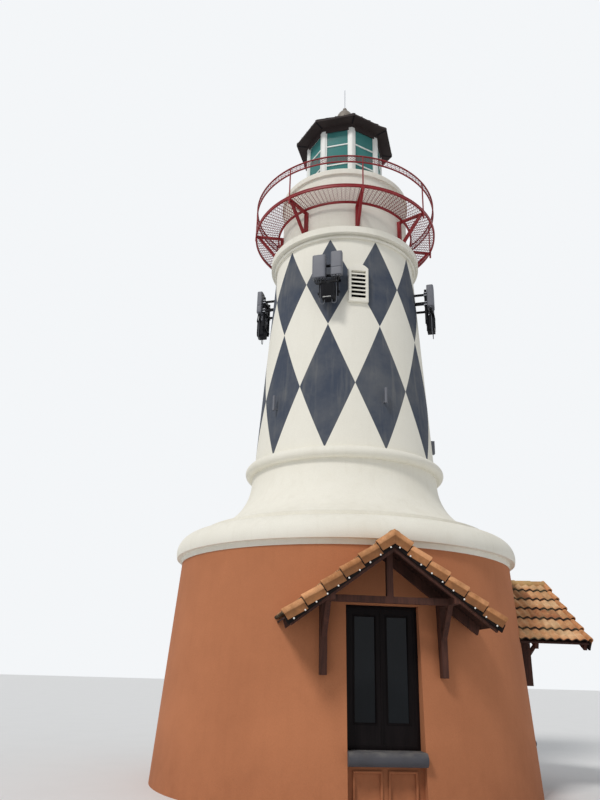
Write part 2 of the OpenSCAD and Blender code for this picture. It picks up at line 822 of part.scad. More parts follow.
// Antenna cover with round edges, standing on the front of its arms
module antenna_cover(x, foot, w, d, h) {
    translate([x, -array_back_r - d / 2, foot]) linear_extrude(h) rounded(w, d, d * 0.3);
}

module antenna_panels() color("gray") for (k = [0:3]) at(array_az + 90 * k) {
    foot = array_z + k * array_step;
    antenna_cover(cover_x, foot, cover_w, cover_d, cover_h);
    antenna_cover(unit_x, foot + unit_up, unit_w, unit_d, unit_h);
}

// Poles behind the covers, rails across them, arms to the wall and the radio box under the covers
module antenna_mount(foot) difference() {
    rail_len = unit_x - cover_x + 2 * rail_over;
    radio_top = foot - radio_gap;
    union() {
        for (x = [cover_x, unit_x]) {
            translate([x, -pole_r, foot - pole_drop])
                cylinder(r = pole_tube_r, h = cover_h + pole_drop - rail_in / 2, $fn = 24);
            for (z = [foot + rail_in, foot + cover_h - 2 * rail_in])
                translate([x - rail_bar / 2, -array_back_r, z])
                    cube([rail_bar, array_back_r - shaft_r_top / 2, rail_bar]);
        }
        for (z = [foot + rail_in, foot + cover_h - 2 * rail_in, radio_top - radio_h / 2])
            translate([cover_x - rail_over, -pole_r - rail_bar / 2, z])
                cube([rail_len, rail_bar, rail_bar]);
        translate([radio_x, -pole_r, radio_top - radio_h / 2]) rotate([90, 0, 0])
            linear_extrude(radio_d) rounded(radio_w, radio_h, radio_corner);
    }
    shaft_envelope();
}

module antenna_mounts() color("black") for (k = [0:3])
    at(array_az + 90 * k) antenna_mount(array_z + k * array_step);

// Lead from the foot of a cover down, round a bend and up to the foot of the radio box
module antenna_lead(from_x, from_z, side, to_z) {
    low = to_z - lead_drop;
    translate([from_x, -array_r, low]) cylinder(r = lead_r, h = from_z - low);
    translate([from_x + side * 2 * lead_bend, -array_r, low]) cylinder(r = lead_r, h = to_z - low);
    translate([from_x + side * lead_bend, -array_r, low]) rotate([-90, 0, 0])
        rotate_extrude(angle = 180) translate([lead_bend, 0]) circle(r = lead_r);
}

module antenna_leads() color("dimgray") for (k = [0:3]) at(array_az + 90 * k) {
    foot = array_z + k * array_step;
    radio_foot = foot - radio_gap - radio_h;
    radio_side = radio_w / 2 + lead_bend * 0.7;
    antenna_lead(radio_x - radio_side, foot, 1, radio_foot);
    antenna_lead(radio_x + radio_side, foot + unit_up, -1, radio_foot);
}

// Tube on a short bracket, and a box that stands on the wall, in turn round the shaft
module small_tube() {
    translate([0, -small_r, small_z]) cylinder(r = small_tube_r, h = small_h, $fn = 24);
    translate([-small_tube_r * 0.7, -small_r, small_z + small_tube_r])
        cube([small_tube_r * 1.4, small_r / 4, small_tube_r]);
}

module small_wall_box() {
    translate([-small_box[0] / 2, -small_r - small_box[1] / 2, small_z - small_box_drop])
        cube([small_box[0], small_r / 4, small_box[2]]);
}

module small_antennas() color("gray") for (k = [0:4]) at(small_az + 72 * k) difference() {
    if (k % 2 == 0) small_tube();
    else small_wall_box();
    shaft_envelope();
}

ground_floor();
base_wall_front();
base_wall_right();
base_wall_back();
base_wall_left();
skirt_front();
skirt_back();
torus_moulding();
shaft_front();
shaft_right();
shaft_back();
shaft_left();
upper_cornice();
drum_front();
drum_back();
drum_cap();
lantern_posts();
lantern_sashes();
lantern_glass();
lantern_header();
lantern_roof();
roof_dome();
lightning_rod();
gallery_brackets();
gallery_inner_ring();
gallery_outer_ring();
gallery_floor();
gallery_posts();
gallery_top_rail();
gallery_second_rail();
gallery_rail_mesh();
window_frames();
window_glass();
window_sills();
window_aprons();
canopy_timber();
canopy_decks();
canopy_barges();
canopy_tiles();
louvre_vent();
antenna_panels();
antenna_mounts();
antenna_leads();
small_antennas();
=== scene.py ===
"""Looks of a lighthouse: stucco tower, painted diamonds, red gallery, lantern, tiled canopies.

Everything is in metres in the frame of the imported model: the tower's axis is Z, the ground is
z = 0, the front is azimuth 0 and looks along -Y, and azimuths grow towards +X.
"""

import logging
import math
from collections.abc import Callable, Sequence
from dataclasses import dataclass, field
from enum import Enum

import bpy
import numpy as np
from mathutils import Matrix, Vector

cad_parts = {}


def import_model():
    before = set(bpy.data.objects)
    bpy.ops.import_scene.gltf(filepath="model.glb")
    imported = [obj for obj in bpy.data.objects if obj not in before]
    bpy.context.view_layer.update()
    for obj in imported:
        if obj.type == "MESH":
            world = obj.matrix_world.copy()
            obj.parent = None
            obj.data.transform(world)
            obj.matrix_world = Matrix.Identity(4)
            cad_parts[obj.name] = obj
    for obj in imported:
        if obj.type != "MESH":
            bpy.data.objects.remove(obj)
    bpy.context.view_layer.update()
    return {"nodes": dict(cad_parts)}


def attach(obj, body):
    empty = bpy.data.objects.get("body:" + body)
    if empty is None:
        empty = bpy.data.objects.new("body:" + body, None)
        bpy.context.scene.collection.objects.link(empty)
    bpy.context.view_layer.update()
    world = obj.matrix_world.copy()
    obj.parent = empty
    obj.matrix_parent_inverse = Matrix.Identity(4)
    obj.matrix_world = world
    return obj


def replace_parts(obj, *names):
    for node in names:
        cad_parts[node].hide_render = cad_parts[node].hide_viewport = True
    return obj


LOG = logging.getLogger("lighthouse")
Triple = tuple[float, float, float]
Color = Triple
Profile = tuple[tuple[float, float], ...]
Socket = bpy.types.NodeSocket
Sockets = bpy.types.NodeOutputs
ACROSS, DEEP, UP = np.eye(3)
BODY = "root"


def paint(red: float, green: float, blue: float) -> Color:
    """A colour written as it looks on screen, turned into light.

    Formula: the standard screen curve undone for each channel.

    Args:
        red: Red from 0 to 255.
        green: Green from 0 to 255.
        blue: Blue from 0 to 255.

    Returns:
        The linear colour.
    """
    value = np.array([red, green, blue]) / 255
    linear = np.where(value <= 0.04045, value / 12.92, ((value + 0.055) / 1.055) ** 2.4)
    return tuple(float(v) for v in linear)


# Shapes


@dataclass
class Shell:
    """One closed surface, or many of one build, on a grid of two parameters.

    The grid is copies by stations by points by 3: the points run round a section and the
    stations carry the section along a path.
    """

    points: np.ndarray
    looped: bool = False
    tone: np.ndarray | None = None

    def __post_init__(self) -> None:
        """A single surface becomes a batch of one."""
        if self.points.ndim == 3:
            self.points = self.points[None]

    def vertices(self) -> np.ndarray:
        """All the points in one list."""
        return self.points.reshape(-1, 3)

    def faces(self) -> list[np.ndarray]:
        """The quads between the stations, and the two ends where the path isn't a loop.

        Returns:
            Arrays of faces, turned so that they look outwards.
        """
        whole = np.arange(self.points[..., 0].size).reshape(self.points.shape[:3])
        index, ahead = whole, np.roll(whole, -1, axis=1)
        if not self.looped:
            index, ahead = index[:, :-1], ahead[:, :-1]
        quads = np.stack([index, np.roll(index, -1, axis=2), np.roll(ahead, -1, axis=2), ahead],
                         axis=-1)
        parts = [quads.reshape(len(quads), -1, 4)]
        if not self.looped:
            parts += [whole[:, :1, ::-1], whole[:, -1:]]
        inward = (self._volumes(parts) < 0)[:, None, None]
        return [np.where(inward, part[..., ::-1], part).reshape(-1, part.shape[-1])
                for part in parts]

    def _volumes(self, parts: Sequence[np.ndarray]) -> np.ndarray:
        """Signed volume of each copy.

        Formula: a sixth of the triple product over a fan of each face, summed.

        Args:
            parts: Arrays of faces, copy by copy.

        Returns:
            The volumes.
        """
        flat = (self.points - self.points.mean(axis=(1, 2), keepdims=True)).reshape(-1, 3)
        total = np.zeros(len(self.points))
        for part in parts:
            first, second, third = flat[part[..., :1]], flat[part[..., 1:-1]], flat[part[..., 2:]]
            total += np.sum(first * np.cross(second, third), axis=(1, 2, 3))
        return total / 6

    def tones(self) -> np.ndarray:
        """The tone of each point, from a value for each copy, station or point."""
        tone = np.zeros(len(self.points)) if self.tone is None else self.tone
        spread = tone.reshape(tone.shape + (1,) * (3 - tone.ndim))
        return np.broadcast_to(spread, self.points.shape[:3]).ravel()


def spots(x: np.ndarray, y: np.ndarray, z: np.ndarray) -> np.ndarray:
    """Points from their x, y and z, each an array or a single value."""
    return np.stack(np.broadcast_arrays(x, y, z), axis=-1)


def polar(azimuth: np.ndarray, radius: np.ndarray, height: np.ndarray) -> np.ndarray:
    """Points from azimuth in degrees, radius and height: x = r sin a, y = -r cos a, z = h."""
    angle = np.radians(azimuth)
    return spots(radius * np.sin(angle), -radius * np.cos(angle), height)


def sideways(points: np.ndarray) -> np.ndarray:
    """The level direction round the tower's axis at each point."""
    return spots(-points[:, 1], points[:, 0], 0.0)


def unit(rows: np.ndarray) -> np.ndarray:
    """Directions brought to a length of one."""
    return rows / np.linalg.norm(rows, axis=-1, keepdims=True)


def turned(points: np.ndarray, azimuths: Sequence[float]) -> np.ndarray:
    """Copies of grids, turned about the tower's axis.

    Formula: x' = x cos a - y sin a and y' = x sin a + y cos a for each azimuth a.

    Args:
        points: Grids whose last three axes are stations, points and 3, with or without copies.
        azimuths: The azimuths in degrees.

    Returns:
        One batch, azimuth by azimuth.
    """
    batch = points if points.ndim == 4 else points[None]
    angle = np.radians(np.asarray(azimuths, float))[:, None, None, None]
    x, y, z = (batch[None, ..., k] for k in range(3))
    out = spots(x * np.cos(angle) - y * np.sin(angle), x * np.sin(angle) + y * np.cos(angle), z)
    return out.reshape(-1, *batch.shape[1:])


def struts(start: np.ndarray, end: np.ndarray, side: np.ndarray, width: float,
           depth: float) -> Shell:
    """Straight bars of a rectangular section between pairs of points.

    Formula: at each end the four corners are the end plus or minus half the width along the
    side direction and half the depth along the cross product of the bar and the side.

    Args:
        start: Start points, copies by 3.
        end: End points, copies by 3.
        side: The direction of the width, one or one for each bar.
        width: Size of the bar along the side direction.
        depth: Size of the bar across it.

    Returns:
        The bars.
    """
    run = unit(end - start)
    side = np.broadcast_to(side, run.shape)
    side = unit(side - run * np.sum(side * run, axis=-1, keepdims=True))[:, None]
    over = np.cross(run[:, None], side)
    corner = np.array([[-1, -1], [1, -1], [1, 1], [-1, 1]]) / 2
    offset = corner[:, :1] * width * side + corner[:, 1:] * depth * over
    return Shell(np.stack([start[:, None] + offset, end[:, None] + offset], axis=1))


def circles(axis: np.ndarray, sides: int) -> np.ndarray:
    """Circles of radius one, square to directions.

    Formula: cos t times one direction square to the axis plus sin t times a second.

    Args:
        axis: Directions of length one.
        sides: Number of points round each circle.

    Returns:
        The circles, with an axis of points added before the last.
    """
    guide = np.where(np.abs(axis[..., 2:]) > 0.9, ACROSS, UP)
    first = unit(np.cross(axis, guide))
    second = np.cross(axis, first)
    angle = np.linspace(0, 2 * np.pi, sides, endpoint=False)[:, None]
    return np.cos(angle) * first[..., None, :] + np.sin(angle) * second[..., None, :]


def tubes(paths: np.ndarray, radius: float, sides: int) -> Shell:
    """Round tubes along smooth paths.

    Formula: a circle of the radius at each point, square to the path's tangent there.

    Args:
        paths: Points of the paths, copies by stations by 3.
        radius: Radius of the tube.
        sides: Number of points round it.

    Returns:
        The tubes.
    """
    return Shell(paths[:, :, None] + radius * circles(unit(np.gradient(paths, axis=1)), sides))


def spun(profile: Profile, centre: np.ndarray, axis: np.ndarray, sides: int) -> Shell:
    """Small turned shapes about an axis at each centre.

    Formula: each pair of the profile is a circle of its first value, moved along the axis by
    its second.

    Args:
        profile: Pairs of radius and distance along the axis.
        centre: Where the axis starts, copies by 3.
        axis: Direction of the axis, copies by 3.
        sides: Number of points round it.

    Returns:
        The shapes.
    """
    axis = unit(axis)
    radius, along = (np.array(values)[:, None, None] for values in zip(*profile))
    ring = circles(axis, sides)[:, None]
    return Shell(centre[:, None, None] + radius * ring + along * axis[:, None, None])


def curve(knots: np.ndarray, count: int) -> np.ndarray:
    """Smooth paths through control points.

    Formula: the Bernstein polynomials of the knots' degree at even steps from 0 to 1.

    Args:
        knots: Control points, copies by knots by 3.
        count: Number of points on each path.

    Returns:
        The paths, copies by count by 3.
    """
    degree = knots.shape[1] - 1
    step, power = np.linspace(0, 1, count)[:, None], np.arange(degree + 1)[None]
    ways = np.array([math.comb(degree, k) for k in range(degree + 1)])
    share = ways * step**power * (1 - step) ** (degree - power)
    return np.einsum("tk,ckx->ctx", share, knots)


def moulded_ring(width: float, height: float, profile: Profile) -> np.ndarray:
    """A moulding round an upright rectangle that faces the front, mitred at its corners.

    Formula: each corner carries the profile, moved inwards by its first value along both
    sides and outwards from the face by its second.

    Args:
        width: Width of the rectangle.
        height: Height of the rectangle.
        profile: Pairs of distance inwards and distance outwards from the face.

    Returns:
        A looped grid, centred on the middle of the rectangle's foot.
    """
    inward, outward = (np.array(values) for values in zip(*profile))
    corners = np.array([[-1, 0], [1, 0], [1, 1], [-1, 1]], float)
    x = corners[:, :1] * (width / 2 - inward)
    return spots(x, -outward, np.where(corners[:, 1:] > 0, height - inward, inward))


def mesh_piece(name: str, shells: Sequence[Shell], finish: "Finish",
               crease: float = 35.0) -> bpy.types.Object:
    """Puts grids into one mesh object, dresses it and lets it ride on the tower.

    Args:
        name: Name of the piece.
        shells: The grids it is made of.
        finish: Its finish.
        crease: Angle in degrees above which an edge stays sharp.

    Returns:
        The object.
    """
    points = [shell.vertices() for shell in shells]
    start = np.cumsum([0] + [len(rows) for rows in points])
    faces = [part + base for shell, base in zip(shells, start) for part in shell.faces()]
    total = np.concatenate([np.full(len(part), part.shape[1]) for part in faces])
    corners = np.concatenate([part.ravel() for part in faces])
    first = np.concatenate([[0], np.cumsum(total)[:-1]])
    tones = np.concatenate([shell.tones() for shell in shells])
    mesh = bpy.data.meshes.new(name)
    mesh.vertices.add(int(start[-1]))
    mesh.vertices.foreach_set("co", np.concatenate(points).astype(np.float32).ravel())
    mesh.loops.add(len(corners))
    mesh.loops.foreach_set("vertex_index", corners.astype(np.int32))
    mesh.polygons.add(len(total))
    mesh.polygons.foreach_set("loop_start", first.astype(np.int32))
    mesh.polygons.foreach_set("use_smooth", np.ones(len(total), bool))
    mesh.attributes.new("tone", "FLOAT", "POINT").data.foreach_set("value",
                                                                   tones.astype(np.float32))
    mesh.update(calc_edges=True)
    mesh.validate()
    mesh.set_sharp_from_angle(angle=math.radians(crease))
    piece = bpy.data.objects.new(name, mesh)
    bpy.context.scene.collection.objects.link(piece)
    mesh.materials.append(finish.material())
    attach(piece, BODY)
    LOG.info("made %s with %d faces", name, len(total))
    return piece


# Shared shader groups


class Graph:
    """The nodes of one material or group, added one at a time."""

    def __init__(self, tree: bpy.types.NodeTree) -> None:
        """Keeps the node tree."""
        self.tree = tree

    def node(self, kind: str, inputs: dict | None = None, **settings: object) -> bpy.types.Node:
        """Adds a node and fills its inputs.

        Args:
            kind: The node's type.
            inputs: Input name or number to a socket, a plain value or a colour.
            **settings: Properties of the node.

        Returns:
            The node.
        """
        made = self.tree.nodes.new(kind)
        for key, value in settings.items():
            setattr(made, key, value)
        for key, value in (inputs or {}).items():
            socket = made.inputs[key]
            if isinstance(value, Socket):
                self.tree.links.new(value, socket)
            else:
                socket.default_value = (*value, 1.0) if socket.type == "RGBA" else value
        return made

    def group(self, which: "Group", **inputs: object) -> Sockets:
        """Places a shared effect; its inputs are named with underscores for spaces."""
        named = {key.replace("_", " "): value for key, value in inputs.items()}
        return self.node("ShaderNodeGroup", named, node_tree=which.tree()).outputs

    def math(self, kind: str, first: object, second: object = 0.0, clamp: bool = False) -> Socket:
        """One sum of two values."""
        return self.node("ShaderNodeMath", {0: first, 1: second}, operation=kind,
                         use_clamp=clamp).outputs[0]

    def plus(self, first: object, second: object, clamp: bool = False) -> Socket:
        """Two values added."""
        return self.math("ADD", first, second, clamp)

    def less(self, first: object, second: object) -> Socket:
        """The second value taken from the first."""
        return self.math("SUBTRACT", first, second)

    def times(self, first: object, second: object, clamp: bool = False) -> Socket:
        """Two values multiplied."""
        return self.math("MULTIPLY", first, second, clamp)

    def span(self, value: object, low: object, high: object) -> Socket:
        """The value mapped so that low is 0 and high is 1, held within them."""
        return self.node("ShaderNodeMapRange", {"Value": value, "From Min": low,
                                                "From Max": high}).outputs[0]

    def mix(self, share: object, first: object, second: object) -> Socket:
        """Two colours mixed by a share."""
        return self.node("ShaderNodeMix", {0: share, 6: first, 7: second},
                         data_type="RGBA").outputs[2]

    def noise(self, place: object, scale: object, detail: float = 3.0,
              rough: float = 0.55) -> Socket:
        """Soft noise from 0 to 1 at a place."""
        return self.node("ShaderNodeTexNoise", {"Vector": place, "Scale": scale, "Detail": detail,
                                                "Roughness": rough}).outputs[0]

    def place(self, stretch: object = (1.0, 1.0, 1.0)) -> Socket:
        """Object coordinates, stretched."""
        spot = self.node("ShaderNodeTexCoord").outputs["Object"]
        return self.node("ShaderNodeVectorMath", {0: spot, 1: stretch},
                         operation="MULTIPLY").outputs[0]


class Group(Enum):
    """The shared effects, each a node group with named sockets."""

    WEATHER = "weathered_coat"
    DIAMONDS = "diamond_pattern"
    GRAIN = "timber_grain"
    CHIPS = "paint_chips"
    DUST = "settled_dust"

    def tree(self) -> bpy.types.NodeTree:
        """The group, built the first time that it is asked for."""
        return bpy.data.node_groups.get(self.value) or self._built()

    def _built(self) -> bpy.types.NodeTree:
        """Makes the group's sockets and fills it."""
        inputs, outputs, fill = SHARED[self]
        tree = bpy.data.node_groups.new(self.value, "ShaderNodeTree")
        for names, end in ((inputs, "INPUT"), (outputs, "OUTPUT")):
            for name in names:
                kind = "NodeSocketColor" if name in COLORED else "NodeSocketFloat"
                tree.interface.new_socket(name, in_out=end, socket_type=kind)
        graph = Graph(tree)
        results = fill(graph, graph.node("NodeGroupInput").outputs)
        graph.node("NodeGroupOutput", dict(zip(outputs, results)))
        return tree


def fill_weather(graph: Graph, given: Sockets) -> list[Socket]:
    """Stains in clouds, in streaks that run down, and as splashes over the ground.

    Args:
        graph: The group's nodes.
        given: The group's inputs.

    Returns:
        Colour with fine grain, height and stain mask.
    """
    spot = graph.place()
    cloud = graph.noise(spot, given["Cloud Scale"], detail=5.0, rough=0.62)
    cloud = graph.span(cloud, low=0.42, high=0.74)
    streak = graph.noise(graph.place(stretch=(1.0, 1.0, 0.09)), scale=7.0, detail=4.0)
    streak = graph.span(streak, low=0.52, high=0.74)
    height = graph.node("ShaderNodeSeparateXYZ", {0: spot}).outputs[2]
    splash = graph.less(1.0, graph.span(height, low=0.0, high=given["Splash Height"]))
    splash = graph.times(splash, graph.noise(spot, scale=3.0, detail=5.0))
    stain = graph.plus(graph.times(cloud, given["Cloud"]), graph.times(streak, given["Streak"]))
    stain = graph.plus(stain, graph.times(splash, given["Splash"]), clamp=True)
    fine = graph.noise(spot, given["Grain Scale"], rough=0.6)
    bright = graph.plus(1.0, graph.times(graph.less(fine, 0.5), given["Grain"]))
    color = graph.mix(stain, given["Paint"], given["Stain"])
    shade = graph.node("ShaderNodeHueSaturation", {"Value": bright, "Color": color})
    relief = graph.plus(fine, graph.times(graph.noise(spot, scale=1.7, detail=2.0), 0.8))
    return [shade.outputs[0], relief, stain]


def fill_diamonds(graph: Graph, given: Sockets) -> list[Socket]:
    """Two rows of diamonds round the axis, tip to tip and corner to corner.

    Formula: the distance in azimuth from a diamond's axis and the distance in height from its
    middle, each as a share of its half size, add up to less than one inside a diamond.

    Args:
        graph: The group's nodes.
        given: The group's inputs.

    Returns:
        The mask of the diamonds.
    """
    x, y, z = graph.node("ShaderNodeSeparateXYZ", {0: graph.place()}).outputs[:3]
    turn = graph.math("ARCTAN2", x, graph.times(y, -1.0))
    column = graph.times(graph.less(turn, given["Turn"]), given["Per Radian"])
    across = graph.times(graph.math("PINGPONG", column, 0.5), 2.0)
    rows = []
    for low, high in (("Foot", "Middle"), ("Middle", "Top")):
        ends = {"Value": z, "From Min": given[low], "From Max": given[high], "To Min": -1.0}
        share = graph.node("ShaderNodeMapRange", ends, clamp=False).outputs[0]
        rows.append(graph.math("ABSOLUTE", share))
    near = graph.plus(across, graph.math("MINIMUM", *rows))
    return [graph.less(1.0, graph.span(near, low=0.994, high=1.006))]


def fill_grain(graph: Graph, given: Sockets) -> list[Socket]:
    """Long fibres along one direction, with darker bands.

    Args:
        graph: The group's nodes.
        given: The group's inputs.

    Returns:
        Colour and height.
    """
    along = {0: given["Along X"], 1: given["Along Y"], 2: given["Along Z"]}
    spot = graph.place(graph.node("ShaderNodeCombineXYZ", along).outputs[0])
    fibre = graph.noise(spot, scale=38.0, detail=4.0, rough=0.6)
    band = graph.noise(spot, scale=9.0, detail=2.0)
    share = graph.span(graph.plus(graph.times(fibre, 0.6), graph.times(band, 0.4)), 0.36, 0.64)
    return [graph.mix(share, given["Dark"], given["Light"]), fibre]


def fill_chips(graph: Graph, given: Sockets) -> list[Socket]:
    """Small patches where paint has gone, more of them in some areas than in others.

    Args:
        graph: The group's nodes.
        given: The group's inputs.

    Returns:
        The mask of the patches.
    """
    spot = graph.place()
    patch = graph.noise(spot, given["Scale"], detail=6.0, rough=0.7)
    area = graph.less(graph.noise(spot, scale=1.3, detail=2.0), 0.5)
    level = graph.plus(patch, graph.times(area, 0.35))
    edge = graph.less(0.86, graph.times(given["Amount"], 0.3))
    return [graph.span(level, edge, graph.plus(edge, 0.03))]


def fill_dust(graph: Graph, given: Sockets) -> list[Socket]:
    """Dust that lies on what looks up.

    Args:
        graph: The group's nodes.
        given: The group's inputs.

    Returns:
        The mask of the dust.
    """
    normal = graph.node("ShaderNodeNewGeometry").outputs["Normal"]
    upward = graph.node("ShaderNodeSeparateXYZ", {0: normal}).outputs[2]
    upward = graph.span(upward, low=0.25, high=0.95)
    patchy = graph.span(graph.noise(graph.place(), scale=5.0, detail=5.0), low=0.3, high=0.7)
    return [graph.times(graph.times(upward, patchy), given["Amount"], clamp=True)]


COLORED = {"Paint", "Stain", "Light", "Dark", "Color"}
Filler = Callable[[Graph, Sockets], list[Socket]]
SHARED: dict[Group, tuple[tuple[str, ...], tuple[str, ...], Filler]] = {
    Group.WEATHER: (("Paint", "Stain", "Cloud Scale", "Cloud", "Streak", "Splash",
                     "Splash Height", "Grain Scale", "Grain"), ("Color", "Height", "Mask"),
                    fill_weather),
    Group.DIAMONDS: (("Turn", "Per Radian", "Foot", "Middle", "Top"), ("Mask",), fill_diamonds),
    Group.GRAIN: (("Light", "Dark", "Along X", "Along Y", "Along Z"), ("Color", "Height"),
                  fill_grain),
    Group.CHIPS: (("Scale", "Amount"), ("Mask",), fill_chips),
    Group.DUST: (("Amount",), ("Mask",), fill_dust),
}


# Finishes


MADE: dict[str, bpy.types.Material] = {}


@dataclass(frozen=True)
class Finish:
    """A surface with a coat that has weathered."""

    name: str
    coat: Color
    stain: Color
    roughness: float = 0.8
    metallic: float = 0.0
    cloud_scale: float = 0.8
    cloud: float = 0.25
    streak: float = 0.1
    splash: float = 0.0
    splash_height: float = 1.2
    grain_scale: float = 60.0
    grain: float = 0.12
    relief: float = 0.002
    relief_share: float = 0.8
    dust: float = 0.0
    dust_color: Color = (0.45, 0.42, 0.36)
    dust_rough: float = 0.3
    chips: float = 0.0
    chip_scale: float = 14.0
    chip_color: Color = (0.12, 0.05, 0.03)
    chip_depth: float = 0.6
    stain_rough: float = 0.12
    gloss: float = 0.5

    def material(self) -> bpy.types.Material:
        """The material of this finish, made once."""
        if self.name not in MADE:
            made = MADE[self.name] = bpy.data.materials.new(self.name)
            made.use_nodes = True
            made.node_tree.nodes.clear()
            self.fill(Graph(made.node_tree))
        return MADE[self.name]

    def base(self, graph: Graph) -> object:
        """The clean colour of the coat."""
        return self.coat

    def worn(self, graph: Graph) -> tuple[Socket, Socket, Socket]:
        """The stained coat's colour, height and roughness."""
        out = graph.group(Group.WEATHER, Paint=self.base(graph), Stain=self.stain,
                          Cloud_Scale=self.cloud_scale, Cloud=self.cloud, Streak=self.streak,
                          Splash=self.splash, Splash_Height=self.splash_height,
                          Grain_Scale=self.grain_scale, Grain=self.grain)
        rougher = graph.times(out["Mask"], self.stain_rough)
        return out["Color"], out["Height"], graph.plus(self.roughness, rougher, clamp=True)

    def finish(self, graph: Graph, **inputs: object) -> None:
        """Ends in one shader, whose inputs are named with underscores for spaces."""
        named = {key.replace("_", " "): value for key, value in inputs.items()}
        shader = graph.node("ShaderNodeBsdfPrincipled", {"Specular IOR Level": self.gloss} | named)
        graph.node("ShaderNodeOutputMaterial", {"Surface": shader.outputs[0]})

    def fill(self, graph: Graph) -> None:
        """Coat, stains, chips and dust into one shader."""
        color, height, rough = self.worn(graph)
        if self.chips:
            gone = graph.group(Group.CHIPS, Scale=self.chip_scale, Amount=self.chips)["Mask"]
            color = graph.mix(gone, color, self.chip_color)
            height = graph.less(height, graph.times(gone, self.chip_depth))
        if self.dust:
            lying = graph.group(Group.DUST, Amount=self.dust)["Mask"]
            color = graph.mix(lying, color, self.dust_color)
            rough = graph.plus(rough, graph.times(lying, self.dust_rough), clamp=True)
        bump = graph.node("ShaderNodeBump", {"Height": height, "Distance": self.relief,
                                             "Strength": self.relief_share})
        self.finish(graph, Base_Color=color, Roughness=rough, Metallic=self.metallic,
                    Normal=bump.outputs[0])


@dataclass(frozen=True)
class DiamondFinish(Finish):
    """Stucco with two rows of painted diamonds."""

    figure: Color = (0.1, 0.1, 0.12)
    count: int = 10
    turn: float = 14.4
    foot: float = 6.96
    middle: float = 10.22
    top: float = 12.80

    def base(self, graph: Graph) -> object:
        """The ground colour with the diamonds on it."""
        out = graph.group(Group.DIAMONDS, Turn=math.radians(self.turn), Foot=self.foot,
                          Per_Radian=self.count / (2 * math.pi), Middle=self.middle, Top=self.top)
        return graph.mix(out["Mask"], self.coat, self.figure)


@dataclass(frozen=True)
class TimberFinish(Finish):
    """Stained timber: fibres run where the stretch is small."""

    dark: Color = (0.02, 0.012, 0.01)
    stretch: Triple = (1.0, 1.0, 0.08)

    def base(self, graph: Graph) -> object:
        """The fibres' colour."""
        x, y, z = self.stretch
        return graph.group(Group.GRAIN, Light=self.coat, Dark=self.dark, Along_X=x, Along_Y=y,
                           Along_Z=z)["Color"]


@dataclass(frozen=True)
class TileFinish(Finish):
    """Clay tiles, each of its own tone."""

    pale: Color = (0.6, 0.4, 0.25)
    burnt: Color = (0.25, 0.13, 0.08)
    # Painted shade: the colour of tones below zero, on the noses, under the laps and in the tucks.
    painted_shade: Color = (0.04, 0.025, 0.02)
    tone_scale: float = 9.0
    tone_cloud: float = 0.9

    def base(self, graph: Graph) -> object:
        """Burnt, middle and pale clay by the tile's own tone and clouds, and painted shade below
        zero.
        """
        own = graph.node("ShaderNodeAttribute", attribute_name="tone").outputs["Fac"]
        cloud = graph.less(graph.noise(graph.place(), self.tone_scale, detail=4.0), 0.5)
        tone = graph.plus(own, graph.times(cloud, self.tone_cloud), clamp=True)
        lower = graph.mix(graph.span(tone, low=0.0, high=0.5), self.burnt, self.coat)
        clay = graph.mix(graph.span(tone, low=0.5, high=1.0), lower, self.pale)
        # Tones below zero turn to painted shade.
        return graph.mix(graph.span(own, low=-0.6, high=-0.1), self.painted_shade, clay)


@dataclass(frozen=True)
class GlassFinish(Finish):
    """Tinted glass with faint dirt."""

    clear: float = 0.35
    ior: float = 1.5
    stain_rough: float = 0.1
    wave_scale: float = 1.6

    def fill(self, graph: Graph) -> None:
        """Tint with faint dirt in clouds and streaks, and a plain share of clear glass."""
        color, _, rough = self.worn(graph)
        wave = graph.noise(graph.place(), self.wave_scale, detail=1.0)
        bump = graph.node("ShaderNodeBump", {"Height": wave, "Distance": self.relief})
        self.finish(graph, Base_Color=color, Roughness=rough, Transmission_Weight=self.clear,
                    IOR=self.ior, Normal=bump.outputs[0])


